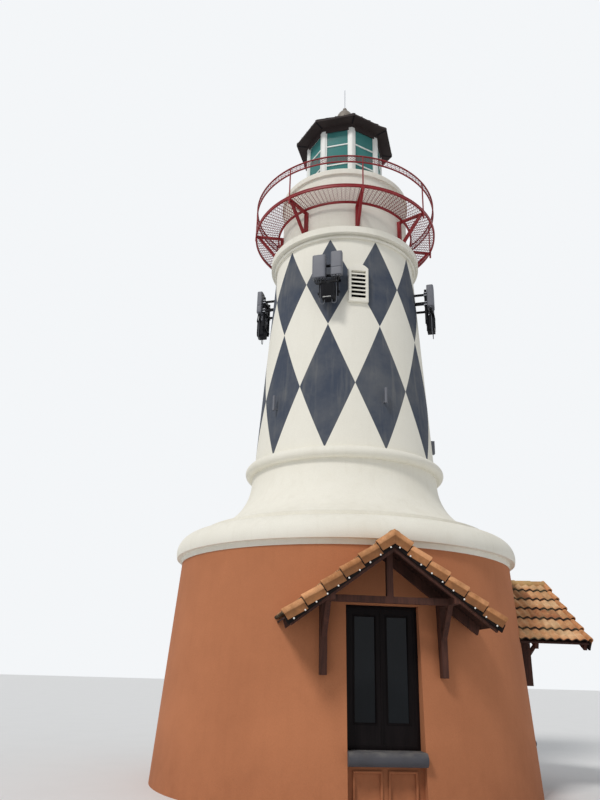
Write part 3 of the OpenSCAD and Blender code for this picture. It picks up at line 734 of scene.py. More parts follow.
@dataclass(frozen=True)
class Finishes:
    """Every finish of the tower."""

    stucco: Finish = Finish(
        "cream_stucco", paint(240, 237, 226), paint(208, 201, 182), 0.86, cloud=0.22, streak=0.12,
        grain_scale=42.0, relief=0.004, dust=0.1, gloss=0.3)
    diamonds: Finish = DiamondFinish(
        "diamond_stucco", paint(240, 237, 226), paint(208, 202, 184), 0.84, cloud=0.12, streak=0.08,
        grain_scale=42.0, relief=0.004, gloss=0.25, figure=paint(66, 74, 89))
    base: Finish = Finish(
        "russet_stucco", paint(186, 120, 83), paint(140, 86, 58), 0.9, cloud_scale=0.55, cloud=0.3,
        streak=0.06, splash=0.6, grain_scale=38.0, grain=0.16, relief=0.005, gloss=0.3)
    floor: Finish = Finish(
        "ground_slab", paint(150, 146, 138), paint(110, 104, 96), 0.9, relief=0.003)
    # The pale pink dust colour lightens the faces of the red steel that look up.
    red: Finish = Finish(
        "gallery_enamel", paint(142, 29, 35), paint(92, 20, 27), 0.45, cloud_scale=3.0, cloud=0.4,
        streak=0.2, grain_scale=120.0, relief=0.0006, chips=0.3, dust=0.1,
        dust_color=paint(186, 120, 116), gloss=0.35)
    red_mesh: Finish = Finish(
        "red_lattice", paint(124, 36, 44), paint(86, 26, 34), 0.6, cloud_scale=3.0, relief=0.0004,
        grain_scale=140.0, gloss=0.25)
    white: Finish = Finish(
        "lantern_enamel", paint(238, 239, 236), paint(158, 156, 150), 0.55, cloud=0.2, streak=0.15,
        grain_scale=90.0, relief=0.0008, dust=0.15)
    charcoal: Finish = Finish(
        "roof_coat", paint(54, 46, 46), paint(76, 68, 65), 0.7, cloud=0.3, streak=0.2,
        grain_scale=70.0, relief=0.001, gloss=0.15)
    cap_metal: Finish = Finish(
        "dome_metal", paint(132, 123, 114), paint(92, 84, 77), 0.55, metallic=0.2, cloud=0.5,
        grain_scale=80.0, relief=0.001, dust=0.1)
    steel: Finish = Finish(
        "rod_steel", paint(150, 153, 160), paint(104, 104, 106), 0.4, metallic=0.7, relief=0.0004,
        grain_scale=150.0)
    lantern_glass: Finish = GlassFinish(
        "teal_glass", paint(80, 146, 143), paint(44, 90, 94), 0.09, cloud=0.5, grain=0.03,
        relief=0.001, clear=0.25, ior=1.2, gloss=0.06)
    window_glass: Finish = GlassFinish(
        "dark_glass", paint(13, 17, 22), paint(34, 41, 47), 0.08, cloud=0.3, grain=0.03, clear=0.12,
        gloss=0.13)
    frame: Finish = TimberFinish(
        "window_stain", paint(24, 19, 20), paint(36, 30, 30), 0.5, cloud=0.2, grain_scale=80.0,
        relief=0.0008, dark=paint(12, 9, 10), gloss=0.08)
    sill: Finish = Finish(
        "sill_stone", paint(74, 74, 80), paint(48, 46, 48), 0.85, cloud=0.4, cloud_scale=2.0,
        grain_scale=70.0, grain=0.25, relief=0.003, dust=0.25)
    apron: Finish = Finish(
        "russet_panel", paint(178, 113, 77), paint(124, 76, 52), 0.8, cloud_scale=1.5, cloud=0.35,
        splash=0.6, gloss=0.3)
    timber: Finish = TimberFinish(
        "brown_timber", paint(90, 56, 46), paint(44, 29, 26), 0.75, cloud=0.3, grain_scale=70.0,
        relief=0.0015, dark=paint(58, 37, 31), dust=0.05, gloss=0.25)
    deck: Finish = TimberFinish(
        "deck_boards", paint(70, 43, 35), paint(34, 22, 20), 0.8, relief=0.0015,
        dark=paint(38, 25, 22), stretch=(1.0, 0.08, 1.0), gloss=0.2)
    barge: Finish = TimberFinish(
        "black_board", paint(30, 23, 22), paint(20, 16, 16), 0.75, relief=0.0012,
        dark=paint(15, 12, 12), stretch=(0.2, 1.0, 0.2), gloss=0.12)
    tiles: Finish = TileFinish(
        "fired_clay", paint(202, 148, 104), paint(140, 132, 100), 0.9, cloud_scale=2.8, cloud=0.55,
        grain_scale=55.0, grain=0.35, relief=0.003, pale=paint(228, 188, 146),
        burnt=paint(158, 104, 72), chips=0.3, chip_scale=70.0, chip_color=paint(92, 70, 52),
        gloss=0.2)
    verge: Finish = TileFinish(
        "verge_tile", paint(176, 120, 78), paint(120, 92, 62), 0.9, cloud_scale=3.4, cloud=0.4,
        streak=0.05, grain_scale=48.0, grain=0.45, relief=0.004, chips=0.55, chip_scale=52.0,
        chip_color=paint(86, 60, 42), pale=paint(228, 166, 118), burnt=paint(138, 92, 60),
        gloss=0.2)
    ridge: Finish = TileFinish(
        "lichened_tile", paint(190, 148, 102), paint(150, 144, 92), 0.9, cloud_scale=3.2, cloud=0.6,
        streak=0.0, grain_scale=48.0, grain=0.35, relief=0.004, pale=paint(208, 172, 124),
        burnt=paint(156, 112, 74), gloss=0.2)
    plastic: Finish = Finish(
        "cover_plastic", paint(112, 114, 122), paint(86, 87, 93), 0.5, cloud_scale=2.0, streak=0.15,
        grain_scale=120.0, relief=0.0005, dust=0.05, gloss=0.35)
    black: Finish = Finish(
        "mount_coat", paint(17, 18, 24), paint(34, 34, 38), 0.6, cloud_scale=3.0, grain_scale=90.0,
        relief=0.0008, dust=0.05, gloss=0.15)
    rubber: Finish = Finish(
        "black_jacket", paint(18, 18, 21), paint(36, 35, 37), 0.65, cloud_scale=4.0,
        grain_scale=120.0, relief=0.0004, gloss=0.25)
    conduit: Finish = Finish(
        "grey_jacket", paint(96, 98, 105), paint(66, 66, 70), 0.6, cloud_scale=4.0,
        grain_scale=120.0, relief=0.0004)
    bulb: Finish = Finish(
        "frosted_bulb", paint(246, 245, 240), paint(214, 210, 198), 0.3, cloud_scale=20.0,
        cloud=0.3, grain_scale=200.0, relief=0.0002)


# The tower


@dataclass
class Tower:
    """What the sub-assemblies share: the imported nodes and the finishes."""

    nodes: dict[str, bpy.types.Object]
    finishes: Finishes = field(default_factory=Finishes)
    weld: float = 0.00005
    bevel_steps: int = 2
    bevel_angle: float = 40.0
    crease_angle: float = 32.0

    def dress(self, finish: Finish, *names: str, bevel: float = 0.0) -> None:
        """Gives nodes a finish and clean shading, and eases their edges.

        Args:
            finish: The finish.
            *names: The nodes.
            bevel: Width of the eased edges, or 0.
        """
        for name in names:
            node = self.nodes[name]
            node.data.materials.clear()
            node.data.materials.append(finish.material())
            node.data.polygons.foreach_set("use_smooth", np.ones(len(node.data.polygons), bool))
            node.modifiers.new("weld", "WELD").merge_threshold = self.weld
            if bevel:
                eased = node.modifiers.new("eased", "BEVEL")
                eased.width, eased.segments = bevel, self.bevel_steps
                eased.limit_method, eased.angle_limit = "ANGLE", math.radians(self.bevel_angle)
            creases = node.modifiers.new("creases", "EDGE_SPLIT")
            creases.split_angle = math.radians(self.crease_angle)
            LOG.info("dressed %s", name)


@dataclass
class Part:
    """One sub-assembly, with the tower's finishes and dressing at hand."""

    tower: Tower

    def __post_init__(self) -> None:
        """Takes the finishes and the dressing from the tower."""
        self.coats, self.dress = self.tower.finishes, self.tower.dress


@dataclass
class Masonry(Part):
    """The round storey, the skirt, the shaft, the cornice and the drum."""

    def build(self) -> None:
        """Dresses the walls from the ground up."""
        self.dress(self.coats.floor, "ground_floor")
        self.dress(self.coats.base, "base_wall_front", "base_wall_right", "base_wall_back",
                   "base_wall_left")
        self.dress(self.coats.stucco, "skirt_front", "skirt_back", "torus_moulding",
                   "upper_cornice", "drum_front", "drum_back", "drum_cap")
        self.dress(self.coats.diamonds, "shaft_front", "shaft_right", "shaft_back", "shaft_left")
        self.dress(self.coats.stucco, "louvre_vent", bevel=0.004)


@dataclass
class Gallery(Part):
    """The red gallery: rings, rails, brackets, and the expanded sheet in floor and rail."""

    floor_z: float = 13.996
    inner_r: float = 1.955
    outer_r: float = 2.57
    floor_rows: int = 18
    floor_cells: int = 320
    rail_r: float = 2.6
    rail_low: float = 14.762
    rail_high: float = 14.914
    rail_rows: int = 5
    rail_cells: int = 400
    strand: float = 0.0078
    sheet: float = 0.003

    def _zigzag(self, rows: int, cells: int) -> tuple[np.ndarray, np.ndarray]:
        """The lattice of an expanded sheet, laid out flat.

        Formula: strand i of row j runs between two steps of azimuth, and its ends lie half a
        row up or down by the parity of i + j, so that each row touches the next.

        Args:
            rows: Number of rows across the sheet.
            cells: Number of steps round the ring.

        Returns:
            Starts and ends as pairs of azimuth in degrees and share across the sheet.
        """
        row, step = np.meshgrid(np.arange(rows), np.arange(cells), indexing="ij")
        lift = np.where((row + step) % 2 == 0, 0.5, -0.5)
        start = np.stack([step * 360 / cells, (row + 0.5 + lift) / rows], axis=-1)
        end = np.stack([(step + 1) * 360 / cells, (row + 0.5 - lift) / rows], axis=-1)
        return start.reshape(-1, 2), end.reshape(-1, 2)

    def _sheet_piece(self, name: str, start: np.ndarray, end: np.ndarray,
                     across: np.ndarray) -> None:
        """Makes the strands of one sheet, thin along the direction across it."""
        strands = struts(start, end, across, self.sheet, self.strand)
        mesh_piece(name, [strands], self.coats.red_mesh)

    def sheets(self) -> None:
        """The floor's sheet, flat between two rings, and the sheet bent between the two rails."""
        wide, high = self.outer_r - self.inner_r, self.rail_high - self.rail_low
        start, end = (polar(ends[:, 0], self.inner_r + wide * ends[:, 1], self.floor_z)
                      for ends in self._zigzag(self.floor_rows, self.floor_cells))
        self._sheet_piece("gallery_floor_sheet", start, end, UP)
        start, end = (polar(ends[:, 0], self.rail_r, self.rail_low + high * ends[:, 1])
                      for ends in self._zigzag(self.rail_rows, self.rail_cells))
        self._sheet_piece("gallery_rail_sheet", start, end, (start + end) * (1 - UP))

    def build(self) -> None:
        """Dresses the steel and adds the sheets."""
        self.dress(self.coats.red, "gallery_inner_ring", "gallery_outer_ring", "gallery_posts",
                   "gallery_top_rail", "gallery_second_rail")
        self.dress(self.coats.red, "gallery_brackets", bevel=0.004)
        self.dress(self.coats.red_mesh, "gallery_floor", "gallery_rail_mesh")
        self.sheets()


@dataclass
class Lantern(Part):
    """The eight-sided lantern: posts, sashes three panes high, head boards, roof, dome and rod."""

    bays: int = 8
    corner_r: float = 1.18
    post_w: float = 0.1
    post_t: float = 0.11
    bar: float = 0.036
    bar_t: float = 0.06
    levels: tuple[float, ...] = (15.176, 16.02, 16.72, 17.296)
    board: float = 0.065
    pane_t: float = 0.01
    eave_low: float = 17.416
    eave_z: float = 17.476
    eave_r: float = 1.52
    roof_rise: float = 1.11
    roof_crease: float = 20.0
    crown_r: float = 0.28
    crown_share: float = 0.75
    crown_lip: float = 0.02
    seams: int = 3
    seam: tuple[float, float] = (0.012, 0.02)
    seam_run: tuple[float, float] = (0.015, 0.97)
    seam_lift: Triple = (0.0, -0.00744, 0.00936)
    hip: tuple[float, float] = (0.07, 0.026)
    hip_proud: float = 0.012
    hip_clear: float = 0.02
    hip_drop: float = 0.005
    strip: tuple[float, float] = (0.034, 0.012)
    strip_in: float = 0.02
    strip_sink: float = 0.002
    soffit_r: float = 1.2
    knob_z: float = 19.1
    dome_sides: int = 40
    dome_crease: float = 50.0
    dome: Profile = ((0.27, -0.525), (0.27, -0.44), (0.265, -0.38), (0.251, -0.32),
                     (0.23, -0.262), (0.202, -0.208), (0.168, -0.158), (0.13, -0.114),
                     (0.09, -0.078), (0.05, -0.062), (0.05, -0.044), (0.066, -0.018),
                     (0.068, 0.008), (0.058, 0.034), (0.036, 0.05), (0.014, 0.056))

    def __post_init__(self) -> None:
        """The azimuths of the corners and of the bays' middles, and half a bay's angle."""
        super().__post_init__()
        self.corners = 360.0 / self.bays * np.arange(self.bays)
        self.middles = self.corners + 180.0 / self.bays
        self.half_bay = math.pi / self.bays

    def _bay_bars(self, start: np.ndarray, end: np.ndarray, wide: float, deep: float) -> Shell:
        """Straight bars of one bay, repeated in all of them.

        Args:
            start: Starts, worked out on the bay's middle as if it faced the front.
            end: Ends.
            wide: Size of a bar in the plane of the bay.
            deep: Size of a bar across that plane.

        Returns:
            The bars.
        """
        return Shell(turned(struts(start, end, DEEP, deep, wide).points, self.middles))

    def sashes(self) -> None:
        """Sashes and panes.

        Formula: in each bay a bar stands at both sides and four lie between them, at the foot,
        at two heights between and at the head, and each pane fills the gap between two lying
        bars.
        """
        half = self.corner_r * math.sin(self.half_bay) - self.post_w
        plane = self.post_t / 2 - self.corner_r * math.cos(self.half_bay)
        foot, *between, head = self.levels
        level = np.array([foot + self.bar / 2, *between, head - self.bar / 2])
        side, inner = np.array([-1, 1]) * (half - self.bar / 2), half - self.bar
        upright = self._bay_bars(spots(side, plane, foot), spots(side, plane, head),
                                 self.bar, self.bar_t)
        lying = self._bay_bars(spots(-inner, plane, level), spots(inner, plane, level),
                               self.bar, self.bar_t)
        piece = mesh_piece("lantern_sash_bars", [upright, lying], self.coats.white)
        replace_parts(piece, "lantern_sashes")
        low, high = level[:-1] + self.bar / 2, level[1:] - self.bar / 2
        panes = self._bay_bars(spots(0, plane, low), spots(0, plane, high), 2 * inner, self.pane_t)
        piece = mesh_piece("lantern_panes", [panes], self.coats.lantern_glass)
        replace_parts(piece, "lantern_glass")

    def head(self) -> None:
        """The dark ring under the eave, and a board across the head of each bay.

        Formula: an octagonal ring as thick as the posts, from the head of the sashes up to
        the eave, and a straight bar in front of each sash.
        """
        head, outer = self.levels[-1], self.corner_r
        inner = outer - self.post_t / math.cos(self.half_bay)
        radius = np.array([outer, outer, inner, inner])
        height = np.array([head, self.eave_low, self.eave_low, head])
        ring = Shell(polar(self.corners[:, None], radius, height), looped=True)
        thick = (self.post_t - self.bar_t) / 2
        half = outer * math.sin(self.half_bay) - self.post_w
        plane, level = thick / 2 - outer * math.cos(self.half_bay), head - self.board / 2
        boards = self._bay_bars(spots([-half], plane, level), spots([half], plane, level),
                                self.board, thick)
        piece = mesh_piece("lantern_head", [ring, boards], self.coats.charcoal)
        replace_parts(piece, "lantern_header")

    def roof(self) -> None:
        """Eight sheets from a straight eave up to the crown, with the soffit, and the dome on top.

        Formula: an octagon's corners at each height, with the corner radius even from the
        eave to the crown. The dome is a profile spun about the tower's axis.
        """
        top = self.eave_z + self.roof_rise
        radius = np.array([self.eave_r, self.eave_r, self.crown_r, self.crown_share * self.crown_r])
        height = np.array([self.eave_low, self.eave_z, top, top + self.crown_lip])
        sheets = Shell(polar(self.corners, radius[:, None], height[:, None]))
        piece = mesh_piece("lantern_roof_sheets", [sheets], self.coats.charcoal,
                           self.roof_crease)
        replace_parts(piece, "lantern_roof")
        dome = spun(self.dome, self.knob_z * UP[None], UP[None], self.dome_sides)
        piece = mesh_piece("lantern_dome", [dome], self.coats.cap_metal,
                           self.dome_crease)
        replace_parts(piece, "roof_dome")

    def _roof_point(self, across: np.ndarray, up: float) -> np.ndarray:
        """Points on a roof face, worked out as if its middle faced the front.

        Formula: a chord between two corners, whose corner radius shrinks evenly from the eave
        to the crown, and across runs from -1 at one corner to 1 at the other.

        Args:
            across: Share of half the face's width.
            up: Share of the height.

        Returns:
            The points.
        """
        corner = self.eave_r + (self.crown_r - self.eave_r) * up
        return spots(corner * math.sin(self.half_bay) * across,
                     -corner * math.cos(self.half_bay), self.eave_z + self.roof_rise * up)

    def roof_trim(self) -> None:
        """Standing seams up each face, a cap over each hip and a strip on each soffit corner."""
        across = np.linspace(-1, 1, self.seams + 2)[1:-1]
        ends = [self._roof_point(across, up) + np.array(self.seam_lift) for up in self.seam_run]
        pairs = turned(np.stack(ends, axis=1)[:, :, None], self.middles)
        low, high = pairs[:, :, 0].transpose(1, 0, 2)
        ribs = struts(low, high, sideways(low), *self.seam)
        foot = polar(self.corners, self.eave_r - self.hip_proud, self.eave_z + self.hip_proud)
        peak = polar(self.corners, self.crown_r + self.hip_clear,
                     self.eave_z + self.roof_rise - self.hip_drop)
        hips = struts(foot, peak, sideways(foot), *self.hip)
        mesh_piece("lantern_roof_seams", [ribs, hips], self.coats.charcoal)
        outer, inner = (polar(self.corners, radius, self.eave_low - self.strip_sink)
                        for radius in (self.eave_r - self.strip_in, self.soffit_r))
        strips = struts(outer, inner, sideways(foot), *self.strip)
        mesh_piece("lantern_soffit_strips", [strips], self.coats.black)

    def build(self) -> None:
        """Dresses the lantern and trims its roof."""
        self.dress(self.coats.white, "lantern_posts", bevel=0.004)
        self.dress(self.coats.steel, "lightning_rod")
        self.sashes()
        self.head()
        self.roof()
        self.roof_trim()


@dataclass
class Windows(Part):
    """The tall two-leaved windows with sills and panelled aprons."""

    azimuths: tuple[float, ...] = (0.0, 90.0, 180.0)
    plane: float = 3.7468
    width: float = 1.36
    frame: float = 0.075
    stile: float = 0.095
    foot: float = 1.0
    head: float = 3.4
    rail_low: float = 0.33
    rail_high: float = 0.105
    bead_lap: float = 0.01
    bead: Profile = ((0.0, 0.0), (0.004, 0.011), (0.014, 0.012), (0.024, 0.002), (0.03, -0.012),
                     (0.012, -0.012))
    panel_gap: float = 0.13
    panel_foot: float = 0.11
    panel_top: float = 0.69
    panel_in: float = 0.025
    apron_plane: float = 3.9108
    moulding: Profile = ((-0.012, -0.002), (-0.012, 0.01), (0.004, 0.016), (0.022, 0.006),
                         (0.03, -0.024), (0.01, -0.024))

    def _pairs(self, ring: np.ndarray, middle: float, plane: float, foot: float) -> Shell:
        """A ring at both sides of every window's middle.

        Args:
            ring: The looped grid, centred on the middle of its foot.
            middle: Distance of each ring from the window's middle.
            plane: Distance of its plane from the tower's axis.
            foot: Height of its foot.

        Returns:
            The rings.
        """
        place = spots(np.array([-middle, middle]), -plane, foot)
        return Shell(turned(ring[None] + place[:, None, None], self.azimuths), looped=True)

    def beads(self) -> None:
        """A moulded bead round each pane, just inside the leaf's opening."""
        leaf = (self.width - 2 * self.frame) / 2
        wide = leaf - 2 * self.stile
        high = self.head - self.foot - 2 * self.frame - self.rail_low - self.rail_high
        ring = moulded_ring(wide + 2 * self.bead_lap, high + 2 * self.bead_lap, self.bead)
        foot = self.foot + self.frame + self.rail_low - self.bead_lap
        mesh_piece("window_beads", [self._pairs(ring, leaf / 2, self.plane, foot)],
                   self.coats.frame)

    def panel_mouldings(self) -> None:
        """A raised moulding round each panel of the aprons."""
        wide = (self.width - 3 * self.panel_gap) / 2
        ring = moulded_ring(wide, self.panel_top - self.panel_foot, self.moulding)
        rings = self._pairs(ring, (wide + self.panel_gap) / 2, self.apron_plane + self.panel_in,
                            self.panel_foot)
        mesh_piece("apron_mouldings", [rings], self.coats.apron)

    def build(self) -> None:
        """Dresses the windows and adds beads and mouldings."""
        self.dress(self.coats.frame, "window_frames", bevel=0.004)
        self.dress(self.coats.window_glass, "window_glass")
        self.dress(self.coats.sill, "window_sills", bevel=0.006)
        self.dress(self.coats.apron, "window_aprons", bevel=0.004)
        self.beads()
        self.panel_mouldings()


@dataclass
class Canopy:
    """One tiled gable, worked out on the front and turned to its azimuth."""

    azimuth: float
    reach: float
    ridge: float
    random: np.random.Generator
    half: float = 1.95
    pitch: float = 36.7
    courses: int = 6
    wave: float = 0.19
    wave_steps: int = 12
    roll: float = 0.042
    roll_power: float = 0.8
    tile: float = 0.032
    nose_rise: float = 1.3
    bed: float = 0.066
    lap: float = 0.07
    verge_r: float = 0.062
    verge_cover: float = 1.8
    verge_face: float = 0.212
    verge_wall: float = 0.02
    verge_arc: Triple = (-45, 180, 12)
    verge_lift: float = 0.018
    verge_rise: float = 0.024
    verge_lap: float = 0.04
    verge_joint: float = 0.004
    verge_gap: float = 0.014
    verge_step: float = 0.026
    verge_dip: float = 0.03
    verge_nose: tuple[float, float] = (0.003, 0.008)
    mitre_gap: float = 0.001
    field_tones: tuple[float, float] = (0.05, 0.95)
    verge_tones: tuple[float, float] = (0.25, 0.8)
    ridge_tones: tuple[float, float] = (0.3, 0.8)
    ridge_count: int = 3
    ridge_foot: float = 3.86
    ridge_r: float = 0.118
    ridge_grow: float = 0.016
    ridge_lap: float = 0.05
    ridge_flat: float = 0.9
    ridge_drop: float = 0.114
    mortar: Profile = ((0.1, -0.172), (0.0, -0.1), (-0.1, -0.172))
    bulbs: int = 10
    bulb_first: float = 0.08
    bulb_step: float = 0.1855
    bulb_ahead: Triple = (0.0, -1.0, -0.25)
    board_in: float = 0.04
    board_drop: float = 0.2
    wall_foot_r: float = 4.17
    wall_top_r: float = 3.875
    wall_h: float = 4.5
    wall_sink: float = 0.02

    def __post_init__(self) -> None:
        """The slope's direction and the length of a course."""
        self.slope = math.radians(self.pitch)
        self.course = self.half / math.cos(self.slope) / self.courses

    def _on_slope(self, side: np.ndarray, down: np.ndarray, out: np.ndarray,
                  lift: np.ndarray) -> np.ndarray:
        """Points on a slope.

        Formula: x is the side's sign times the distance down times the slope's cosine plus the
        lift times its sine, z is the ridge less the distance times the sine plus the lift
        times the cosine, and y is minus the distance out from the axis.

        Args:
            side: -1 for the left slope and 1 for the right.
            down: Distance down the slope from the ridge.
            out: Distance from the tower's axis towards the front.
            lift: Height above the slope's plane.

        Returns:
            The points.
        """
        x = side * (down * math.cos(self.slope) + lift * math.sin(self.slope))
        z = self.ridge - down * math.sin(self.slope) + lift * math.cos(self.slope)
        return spots(x, -out, z)

    def _wall(self, down: np.ndarray) -> np.ndarray:
        """Distance out to the round wall at a place on the slope, a little inside its face."""
        height = np.minimum(self.ridge - down * math.sin(self.slope), self.wall_h)
        radius = self.wall_foot_r + (self.wall_top_r - self.wall_foot_r) * height / self.wall_h
        return np.sqrt(radius**2 - (down * math.cos(self.slope)) ** 2) - self.wall_sink

    def _rows(self) -> tuple[np.ndarray, np.ndarray]:
        """The side and the number of each course, ready to spread over stations and points."""
        pairs = np.meshgrid([-1.0, 1.0], np.arange(self.courses), indexing="ij")
        return tuple(values.ravel()[:, None, None] for values in pairs)

    def field_tiles(self) -> Shell:
        """Courses of rolled tiles, two rolls to a tile.

        Formula: a thin closed section runs down the slope, lies low at its head and rises by a
        tile's thickness at its nose. Along the course it is lifted by a raised cosine of the
        distance out, which makes the rolls, and its inner end follows the round wall. The tone
        changes from tile to tile, and the joints shift by half a tile from course to course.
        The noses carry painted shade, and the strip just under each of them a painted shadow.

        Returns:
            The courses.
        """
        share = np.array([0.0, 0.19, 0.25, 0.65, 0.96, 1.0, 1.0, 0.97, 0.6, 0.0])
        under = np.array([0, 0, 0, 0, 0, 0.35, 0.8, 1.0, 1.0, 1.0])
        # Painted shade on the noses, and a painted shadow on the strip under each nose.
        painted_nose_shade = np.array([1.6, 1.3, 0.0, 0.0, 0.3, 1.6, 1.6, 1.6, 1.6, 1.6])
        side, row = self._rows()
        head = np.maximum(row * self.course - self.lap, 0.0)
        down = head + ((row + 1) * self.course - head) * share
        edge = self.reach - self.verge_cover * self.verge_r
        count = int((self.reach - self.wall_top_r) / self.wave * self.wave_steps) + 1
        stations = np.linspace(0, 1, count)[None, :, None]
        out = self._wall(down) + (edge - self._wall(down)) * stations
        turn = 2 * np.pi * (edge - self.wave / 2 - out) / self.wave
        rolls = self.roll * (0.5 + 0.5 * np.cos(turn)) ** self.roll_power
        lift = -self.bed + self.tile * self.nose_rise * share + rolls - under * self.tile
        column = (edge - out[..., 4]) / (2 * self.wave)
        place = (column + 0.5 * (row[..., 0] % 2)).astype(int)
        tones = self.random.uniform(*self.field_tones, (len(out), place.max() + 1))
        tone = np.take_along_axis(tones, place, axis=1)[..., None] - painted_nose_shade
        return Shell(turned(self._on_slope(side, down, out, lift), [self.azimuth]), tone=tone)

    def verge_tiles(self) -> Shell:
        """Tiles over the verge: a roll on top and a face in front, set back under the roll.

        Formula: the section is an arc that starts below its middle in front and ends behind,
        with a straight face under it. It runs down the slope, a course long. Its head is drawn
        in and darkened with painted shade where it tucks under the tile above, and it grows
        evenly to its nose, which stands over the next head. At the ridge each point moves along
        the slope until it lies at the middle of the gable. The roll is paler than the face: a
        painted highlight on the roll and painted shade on the face.

        Returns:
            The tiles.
        """
        turn = np.radians(np.linspace(*self.verge_arc))
        arc = np.stack([np.cos(turn) - 1, np.sin(turn) - 1], axis=-1)
        inner = arc[::-1] * (self.verge_r - self.verge_wall) - self.verge_wall
        face = arc[0, 0] * self.verge_r
        section = np.concatenate([[[face, -self.verge_face]], arc * self.verge_r, inner,
                                  [[face - self.verge_wall, -self.verge_face]]])
        side, row = self._rows()
        start, nose = row * self.course, (row + 1) * self.course - self.verge_joint
        tuck = start + np.where(row > 0, self.verge_gap, self.verge_joint)
        head, lip = self.verge_nose
        down = np.concatenate([np.maximum(start - self.verge_lap, 0.0), tuck, tuck + head,
                               nose - lip, nose], axis=1)
        drawn = np.array([1.0, 1.0, 0.8, 0.0, 0.08])[None, :, None] * (row > 0)
        out = self.reach - self.verge_step * drawn + section[:, 0]
        lift = (self.verge_lift + self.verge_rise * (down - start) / self.course
                - self.verge_dip * drawn + section[:, 1])
        middle = self.mitre_gap - lift * math.tan(self.slope)
        first = (np.arange(down.shape[1]) == 0)[None, :, None] & (row == 0)
        down = np.where(first, middle, np.maximum(down, middle))
        # Painted shade on the drawn-in head, where it tucks under the tile above.
        own = self.random.uniform(*self.verge_tones, len(row))[:, None, None] - 2.0 * (drawn > 0.9)
        # Painted shade on the face and a painted highlight on the roll.
        tone = own + np.concatenate([[-0.35, -0.35], np.full(2 * len(arc), 0.3)])
        return Shell(turned(self._on_slope(side, down, out, lift), [self.azimuth]), tone=tone)

    def ridge_tiles(self) -> Shell:
        """Half-round tiles along the ridge, each lapped over the next towards the wall.

        Formula: a half ring about the ridge line, on a bed of mortar that follows both slopes
        below it, whose radius grows towards its outer end by a part of a tile's thickness.

        Returns:
            The tiles.
        """
        angle = np.radians(np.linspace(-90, 90, 15))
        long = (self.reach - self.verge_r - self.ridge_foot) / self.ridge_count
        index = np.arange(self.ridge_count)[:, None, None]
        share = np.array([0.0, 0.5, 0.98, 1.0])[None, :, None]
        lap = self.ridge_lap * (index < self.ridge_count - 1)
        out = self.ridge_foot + index * long + (long + lap) * share
        radius = self.ridge_r + self.ridge_grow * share
        mortar = np.broadcast_to(np.array(self.mortar), (1, share.size, len(self.mortar), 2))
        height = radius * np.cos(angle) * self.ridge_flat - self.ridge_drop
        x = np.concatenate([radius * np.sin(angle), mortar[..., 0]], axis=2)
        z = self.ridge + np.concatenate([height, mortar[..., 1]], axis=2)
        grid = turned(spots(x, -out, z), [self.azimuth])
        return Shell(grid, tone=self.random.uniform(*self.ridge_tones, len(grid)))

    def bulb_spots(self) -> tuple[np.ndarray, np.ndarray]:
        """Places on the barge boards, and the directions in which they face."""
        pairs = np.meshgrid([-1.0, 1.0], np.arange(self.bulbs), indexing="ij")
        side, step = (values.ravel() for values in pairs)
        across = self.bulb_first + self.bulb_step * step
        down = (across + self.board_drop * math.sin(self.slope)) / math.cos(self.slope)
        spot = self._on_slope(side, down, self.reach - self.board_in, -self.board_drop)
        ahead = np.broadcast_to(self.bulb_ahead, spot.shape)
        return tuple(turned(rows[:, None, None], [self.azimuth])[:, 0, 0] for rows in (spot, ahead))


@dataclass
class Canopies(Part):
    """The gables over the windows with their timber, boards, tiles and bulbs."""

    places: tuple[Triple, ...] = ((0.0, 4.96, 4.6), (90.0, 5.15, 4.49), (180.0, 4.96, 4.6))
    seed: int = 41
    holder: Profile = ((0.009, -0.003), (0.011, 0.002), (0.011, 0.009), (0.008, 0.012))
    globe: Profile = ((0.006, 0.01), (0.012, 0.014), (0.0162, 0.021), (0.0155, 0.028),
                      (0.0095, 0.034), (0.002, 0.036))

    def tiles(self, gables: Sequence[Canopy]) -> None:
        """Lays the tiles in place of the plain layer."""
        laid = (("canopy_field_tiles", Canopy.field_tiles, self.coats.tiles, 55),
                ("canopy_verge_tiles", Canopy.verge_tiles, self.coats.verge, 40),
                ("canopy_ridge_tiles", Canopy.ridge_tiles, self.coats.ridge, 50))
        for name, lay, finish, crease in laid:
            shells = [lay(gable) for gable in gables]
            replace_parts(mesh_piece(name, shells, finish, crease), "canopy_tiles")

    def bulbs(self, gables: Sequence[Canopy]) -> None:
        """Frosted bulbs in black holders along the barge boards."""
        places = zip(*(gable.bulb_spots() for gable in gables))
        spot, ahead = (np.concatenate(rows) for rows in places)
        mesh_piece("canopy_bulb_holders", [spun(self.holder, spot, ahead, 8)], self.coats.rubber)
        mesh_piece("canopy_bulbs", [spun(self.globe, spot, ahead, 10)], self.coats.bulb,
                   60)

    def build(self) -> None:
        """Dresses the timber and boards, and adds tiles and bulbs."""
        self.dress(self.coats.timber, "canopy_timber", bevel=0.005)
        self.dress(self.coats.deck, "canopy_decks")
        self.dress(self.coats.barge, "canopy_barges", bevel=0.004)
        random = np.random.default_rng(self.seed)
        gables = [Canopy(*place, random) for place in self.places]
        self.tiles(gables)
        self.bulbs(gables)


@dataclass(frozen=True)
class Upright:
    """An upright housing on an array: its middle across the array, and its sizes."""

    x: float
    width: float
    depth: float
    height: float


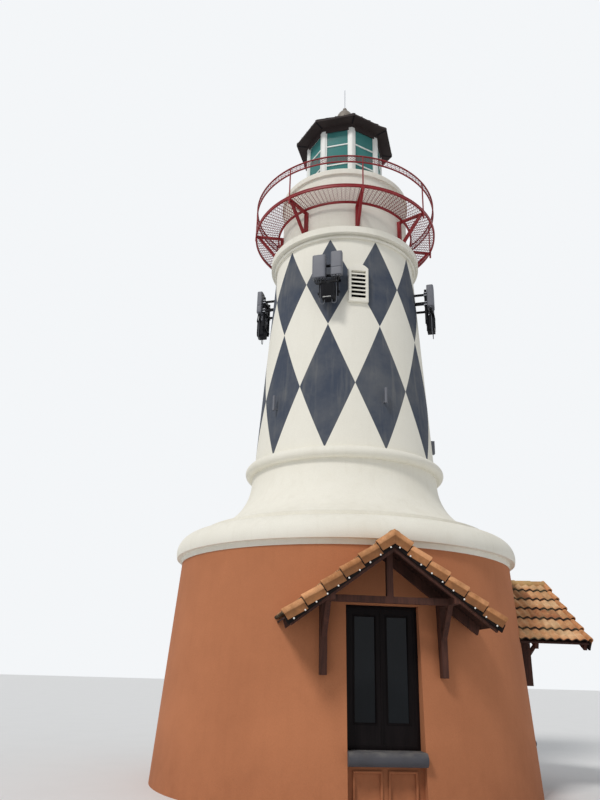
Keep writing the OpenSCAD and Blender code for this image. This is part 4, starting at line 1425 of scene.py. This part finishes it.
@dataclass
class Antennas(Part):
    """The antenna arrays: covers, clamps, plugs, thin jumpers, and radio boxes with fins."""

    azimuth: float = -22.0
    count: int = 4
    step: float = 0.12
    foot: float = 11.325
    back_r: float = 2.3238
    cover: Upright = Upright(-0.15, 0.34, 0.19, 0.645)
    unit: Upright = Upright(0.29, 0.289, 0.152, 0.67)
    core: Upright = Upright(0.29, 0.269, 0.136, 0.47)
    unit_up: float = 0.055
    core_up: float = 0.1
    seam_up: float = 0.215
    seam_half: float = 0.004
    round_power: float = 6.0
    ease_step: tuple[float, ...] = (0.0, 0.003, 0.01, 0.02)
    ease_share: tuple[float, ...] = (0.94, 0.97, 0.99, 1.0)
    pole_r: float = 2.2838
    clamp_up: tuple[float, float] = (0.145, 0.43)
    clamp_reach: float = 0.06
    clamp_apart: float = 0.038
    clamp: tuple[float, float] = (0.084, 0.02)
    radio_x: float = 0.0895
    radio_front: float = 2.4838
    radio_head: float = 0.135
    radio_h: float = 0.48
    jumpers: int = 9
    jumper_r: float = 0.0105
    jumper_from: tuple[tuple[float, float], ...] = ((-0.27, -0.03), (0.18, 0.39))
    jumper_to: tuple[float, float] = (-0.04, 0.215)
    jumper_sway: float = 0.03
    jumper_turn: float = 2.4
    jumper_behind: float = 0.09
    jumper_ahead: float = 0.03
    jumper_drop: float = 0.15
    jumper_sag: float = 0.26
    jumper_rise: tuple[float, float] = (0.1, 0.07)
    plug: Profile = ((0.012, 0.0), (0.016, -0.004), (0.016, -0.03), (0.011, -0.036))
    fins: int = 12
    fin_reach: float = 0.13
    fin_up: float = 0.09
    fin_h: float = 0.33
    fin: tuple[float, float] = (0.007, 0.02)
    ports: int = 6
    port_span: tuple[float, float] = (-0.11, 0.06)
    port_up: float = 0.045
    port: Profile = ((0.013, 0.0), (0.013, 0.012), (0.008, 0.018))
    sink: float = 0.004

    def _around(self, grid: np.ndarray) -> np.ndarray:
        """A grid at every array, turned to its azimuth and lifted by its step."""
        batch = grid if grid.ndim == 4 else grid[None]
        return np.concatenate([
            turned(batch + self.step * k * UP, [self.azimuth + 360 / self.count * k])
            for k in range(self.count)])

    def _spots(self, points: np.ndarray) -> np.ndarray:
        """Single points at every array."""
        return self._around(points[:, None, None])[:, 0, 0]

    def _cover(self, form: Upright, low: float, high: float) -> Shell:
        """An upright cover with a round front and eased ends, at every array.

        Formula: the section is a superellipse, and it shrinks a little near both ends.

        Args:
            form: Place and sizes of the cover.
            low: Height of its foot.
            high: Height of its head.

        Returns:
            The covers.
        """
        turn = np.linspace(0, 2 * np.pi, 32, endpoint=False)
        corner = np.stack([np.cos(turn), np.sin(turn)], axis=-1)
        ring = np.sign(corner) * np.abs(corner) ** (2 / self.round_power)
        ring = ring * [form.width / 2, form.depth / 2]
        step, share = np.array(self.ease_step), np.array(self.ease_share)
        height = np.concatenate([low + step, high - step[::-1]])
        flat = ring * np.concatenate([share, share[::-1]])[:, None, None]
        return Shell(self._around(spots(form.x + flat[..., 0],
                                        flat[..., 1] - (self.back_r + form.depth / 2),
                                        height[:, None])))

    def covers(self) -> None:
        """A tall cover, and a narrow one in two parts with a seam between them, on clamps."""
        low = self.foot + self.unit_up
        high, seam = low + self.unit.height, low + self.seam_up
        shells = [self._cover(self.cover, self.foot, self.foot + self.cover.height),
                  self._cover(self.unit, low, seam - self.seam_half),
                  self._cover(self.unit, seam + self.seam_half, high),
                  self._cover(self.core, low + self.core_up, low + self.core_up + self.core.height)]
        piece = mesh_piece("antenna_covers", shells, self.coats.plastic)
        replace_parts(piece, "antenna_panels")
        middle = spots(np.repeat([self.cover.x, self.unit.x], 2), -self.pole_r,
                       self.foot + np.tile(self.clamp_up, 2))
        reach, apart = self.clamp_reach * ACROSS, self.clamp_apart * UP
        plates = struts(middle - reach, middle + reach, DEEP, *self.clamp).points
        plates = self._around(np.concatenate([plates + apart, plates - apart]))
        mesh_piece("antenna_clamps", [Shell(plates)], self.coats.steel)

    def leads(self) -> None:
        """Thin jumpers that hang in short loops from the covers' feet, with plugs.

        Formula: six control points carry each of them down from a cover's foot, forwards
        under the cover, up again and back into the head of the radio box, and a wave of their
        number keeps them apart.
        """
        start = np.concatenate([np.linspace(*span, self.jumpers) for span in self.jumper_from])
        end = np.linspace(*self.jumper_to, len(start))
        foot = self.foot + np.where(start > self.radio_x, self.unit_up, 0.0)
        head = self.foot - self.radio_head
        wave = self.jumper_sway * np.sin(self.jumper_turn * np.arange(len(start)))
        y = -(self.back_r + self.jumper_behind + wave)
        front = -(self.radio_front + self.jumper_ahead + 0.4 * wave)
        rise, back = self.jumper_rise
        knots = np.stack([spots(start, y, foot + self.sink),
                          spots(start, y, foot - self.jumper_drop),
                          spots((start + end) / 2, front, head - self.jumper_sag - wave),
                          spots(end, front, head + rise), spots(end, y, head + back),
                          spots(end, y, head - self.sink)], axis=1)
        paths = self._around(curve(knots, 18)[:, :, None])[:, :, 0]
        tips = self._spots(knots[:, 0])
        plugs = spun(self.plug, tips, np.broadcast_to(UP, tips.shape), 8)
        mesh_piece("antenna_jumpers", [tubes(paths, self.jumper_r, 6)], self.coats.rubber,
                   60)
        mesh_piece("antenna_connectors", [plugs], self.coats.steel)

    def radio_trim(self) -> None:
        """Cooling fins on the front of the radio box, and a row of pale ports at its foot."""
        low = self.foot - self.radio_head - self.radio_h
        across = self.radio_x + np.linspace(-self.fin_reach, self.fin_reach, self.fins)
        start = spots(across, -self.radio_front - self.sink, low + self.fin_up)
        fins = Shell(self._around(struts(start, start + self.fin_h * UP, ACROSS, *self.fin).points))
        mesh_piece("radio_fins", [fins], self.coats.black)
        across = self.radio_x + np.linspace(*self.port_span, self.ports)
        spot = spots(across, -self.radio_front + self.sink, low + self.port_up)
        ahead = self._spots(np.broadcast_to(-DEEP, spot.shape)) * (1 - UP)
        ports = spun(self.port, self._spots(spot), ahead, 8)
        mesh_piece("radio_ports", [ports], self.coats.white)

    def build(self) -> None:
        """Dresses the mounts and adds covers, leads and fins."""
        self.dress(self.coats.black, "antenna_mounts", bevel=0.003)
        self.dress(self.coats.conduit, "antenna_leads")
        self.dress(self.coats.plastic, "small_antennas")
        self.covers()
        self.leads()
        self.radio_trim()


# The stage


@dataclass(frozen=True)
class Studio:
    """Plain pale floor, soft light and the camera of the photograph."""

    eye: Triple = (-3.114, -16.64, 2.208)
    right: Triple = (0.992, -0.126, 0.027)
    ahead: Triple = (0.107, 0.922, 0.372)
    lens: float = 30.6
    film: float = 36.0
    far: float = 500.0
    fill_light: float = 0.5
    backdrop: float = 0.94
    sky: Triple = (0.96, 0.98, 1.0)
    sun: float = 1.55
    sun_angle: float = 12.0
    sun_color: Triple = (1.0, 0.975, 0.94)
    sun_ahead: Triple = (0.62, 0.66, -0.95)
    floor_half: float = 160.0

    def camera(self) -> None:
        """Puts the camera where the photograph was taken from."""
        data = bpy.data.cameras.new("view")
        data.sensor_width, data.lens, data.clip_end = self.film, self.lens, self.far
        eye = bpy.data.objects.new("view", data)
        bpy.context.scene.collection.objects.link(eye)
        ahead, right = Vector(self.ahead).normalized(), Vector(self.right)
        right = (right - ahead * right.dot(ahead)).normalized()
        axes = Matrix((right, right.cross(ahead), -ahead)).transposed().to_4x4()
        eye.matrix_world = Matrix.Translation(self.eye) @ axes
        bpy.context.scene.camera = eye

    def world(self) -> None:
        """Even light from all round, and a pale ground behind the tower."""
        world = bpy.data.worlds.new("studio")
        bpy.context.scene.world = world
        world.use_nodes = True
        world.node_tree.nodes.clear()
        graph = Graph(world.node_tree)
        ray = graph.node("ShaderNodeLightPath").outputs
        seen = graph.math("MAXIMUM", ray["Is Glossy Ray"], ray["Is Transmission Ray"])
        seen = graph.math("MAXIMUM", ray["Is Camera Ray"], seen)
        more = graph.math("MULTIPLY", seen, self.backdrop - self.fill_light)
        level = graph.math("ADD", self.fill_light, more)
        light = graph.node("ShaderNodeBackground", {"Color": self.sky, "Strength": level})
        graph.node("ShaderNodeOutputWorld", {"Surface": light.outputs[0]})

    def lamp(self) -> None:
        """One soft sun from the upper left."""
        data = bpy.data.lights.new("key", "SUN")
        data.energy, data.angle, data.color = self.sun, math.radians(self.sun_angle), self.sun_color
        key = bpy.data.objects.new("key", data)
        bpy.context.scene.collection.objects.link(key)
        key.rotation_euler = Vector(self.sun_ahead).to_track_quat("-Z", "Y").to_euler()

    def floor(self) -> None:
        """A wide pale floor."""
        half = self.floor_half
        mesh = bpy.data.meshes.new("floor")
        mesh.from_pydata([(-half, -half, 0), (half, -half, 0), (half, half, 0), (-half, half, 0)],
                         [], [(0, 1, 2, 3)])
        plane = bpy.data.objects.new("floor", mesh)
        bpy.context.scene.collection.objects.link(plane)
        coat = Finish("pale_floor", paint(228, 229, 230), paint(220, 221, 222), 0.95, grain=0.02,
                      relief=0.0005)
        mesh.materials.append(coat.material())

    def build(self) -> None:
        """Sets the stage."""
        bpy.context.scene.view_settings.view_transform = "Standard"
        self.camera()
        self.world()
        self.lamp()
        self.floor()


def main() -> None:
    """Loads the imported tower, dresses it from the ground up and sets the stage."""
    logging.basicConfig(level=logging.INFO, format="%(name)s: %(message)s")
    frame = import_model()
    tower = Tower(frame["nodes"])
    for kind in (Masonry, Windows, Canopies, Antennas, Gallery, Lantern):
        LOG.info("building %s", kind.__name__)
        kind(tower).build()
    Studio().build()


if __name__ == "__main__":
    main()
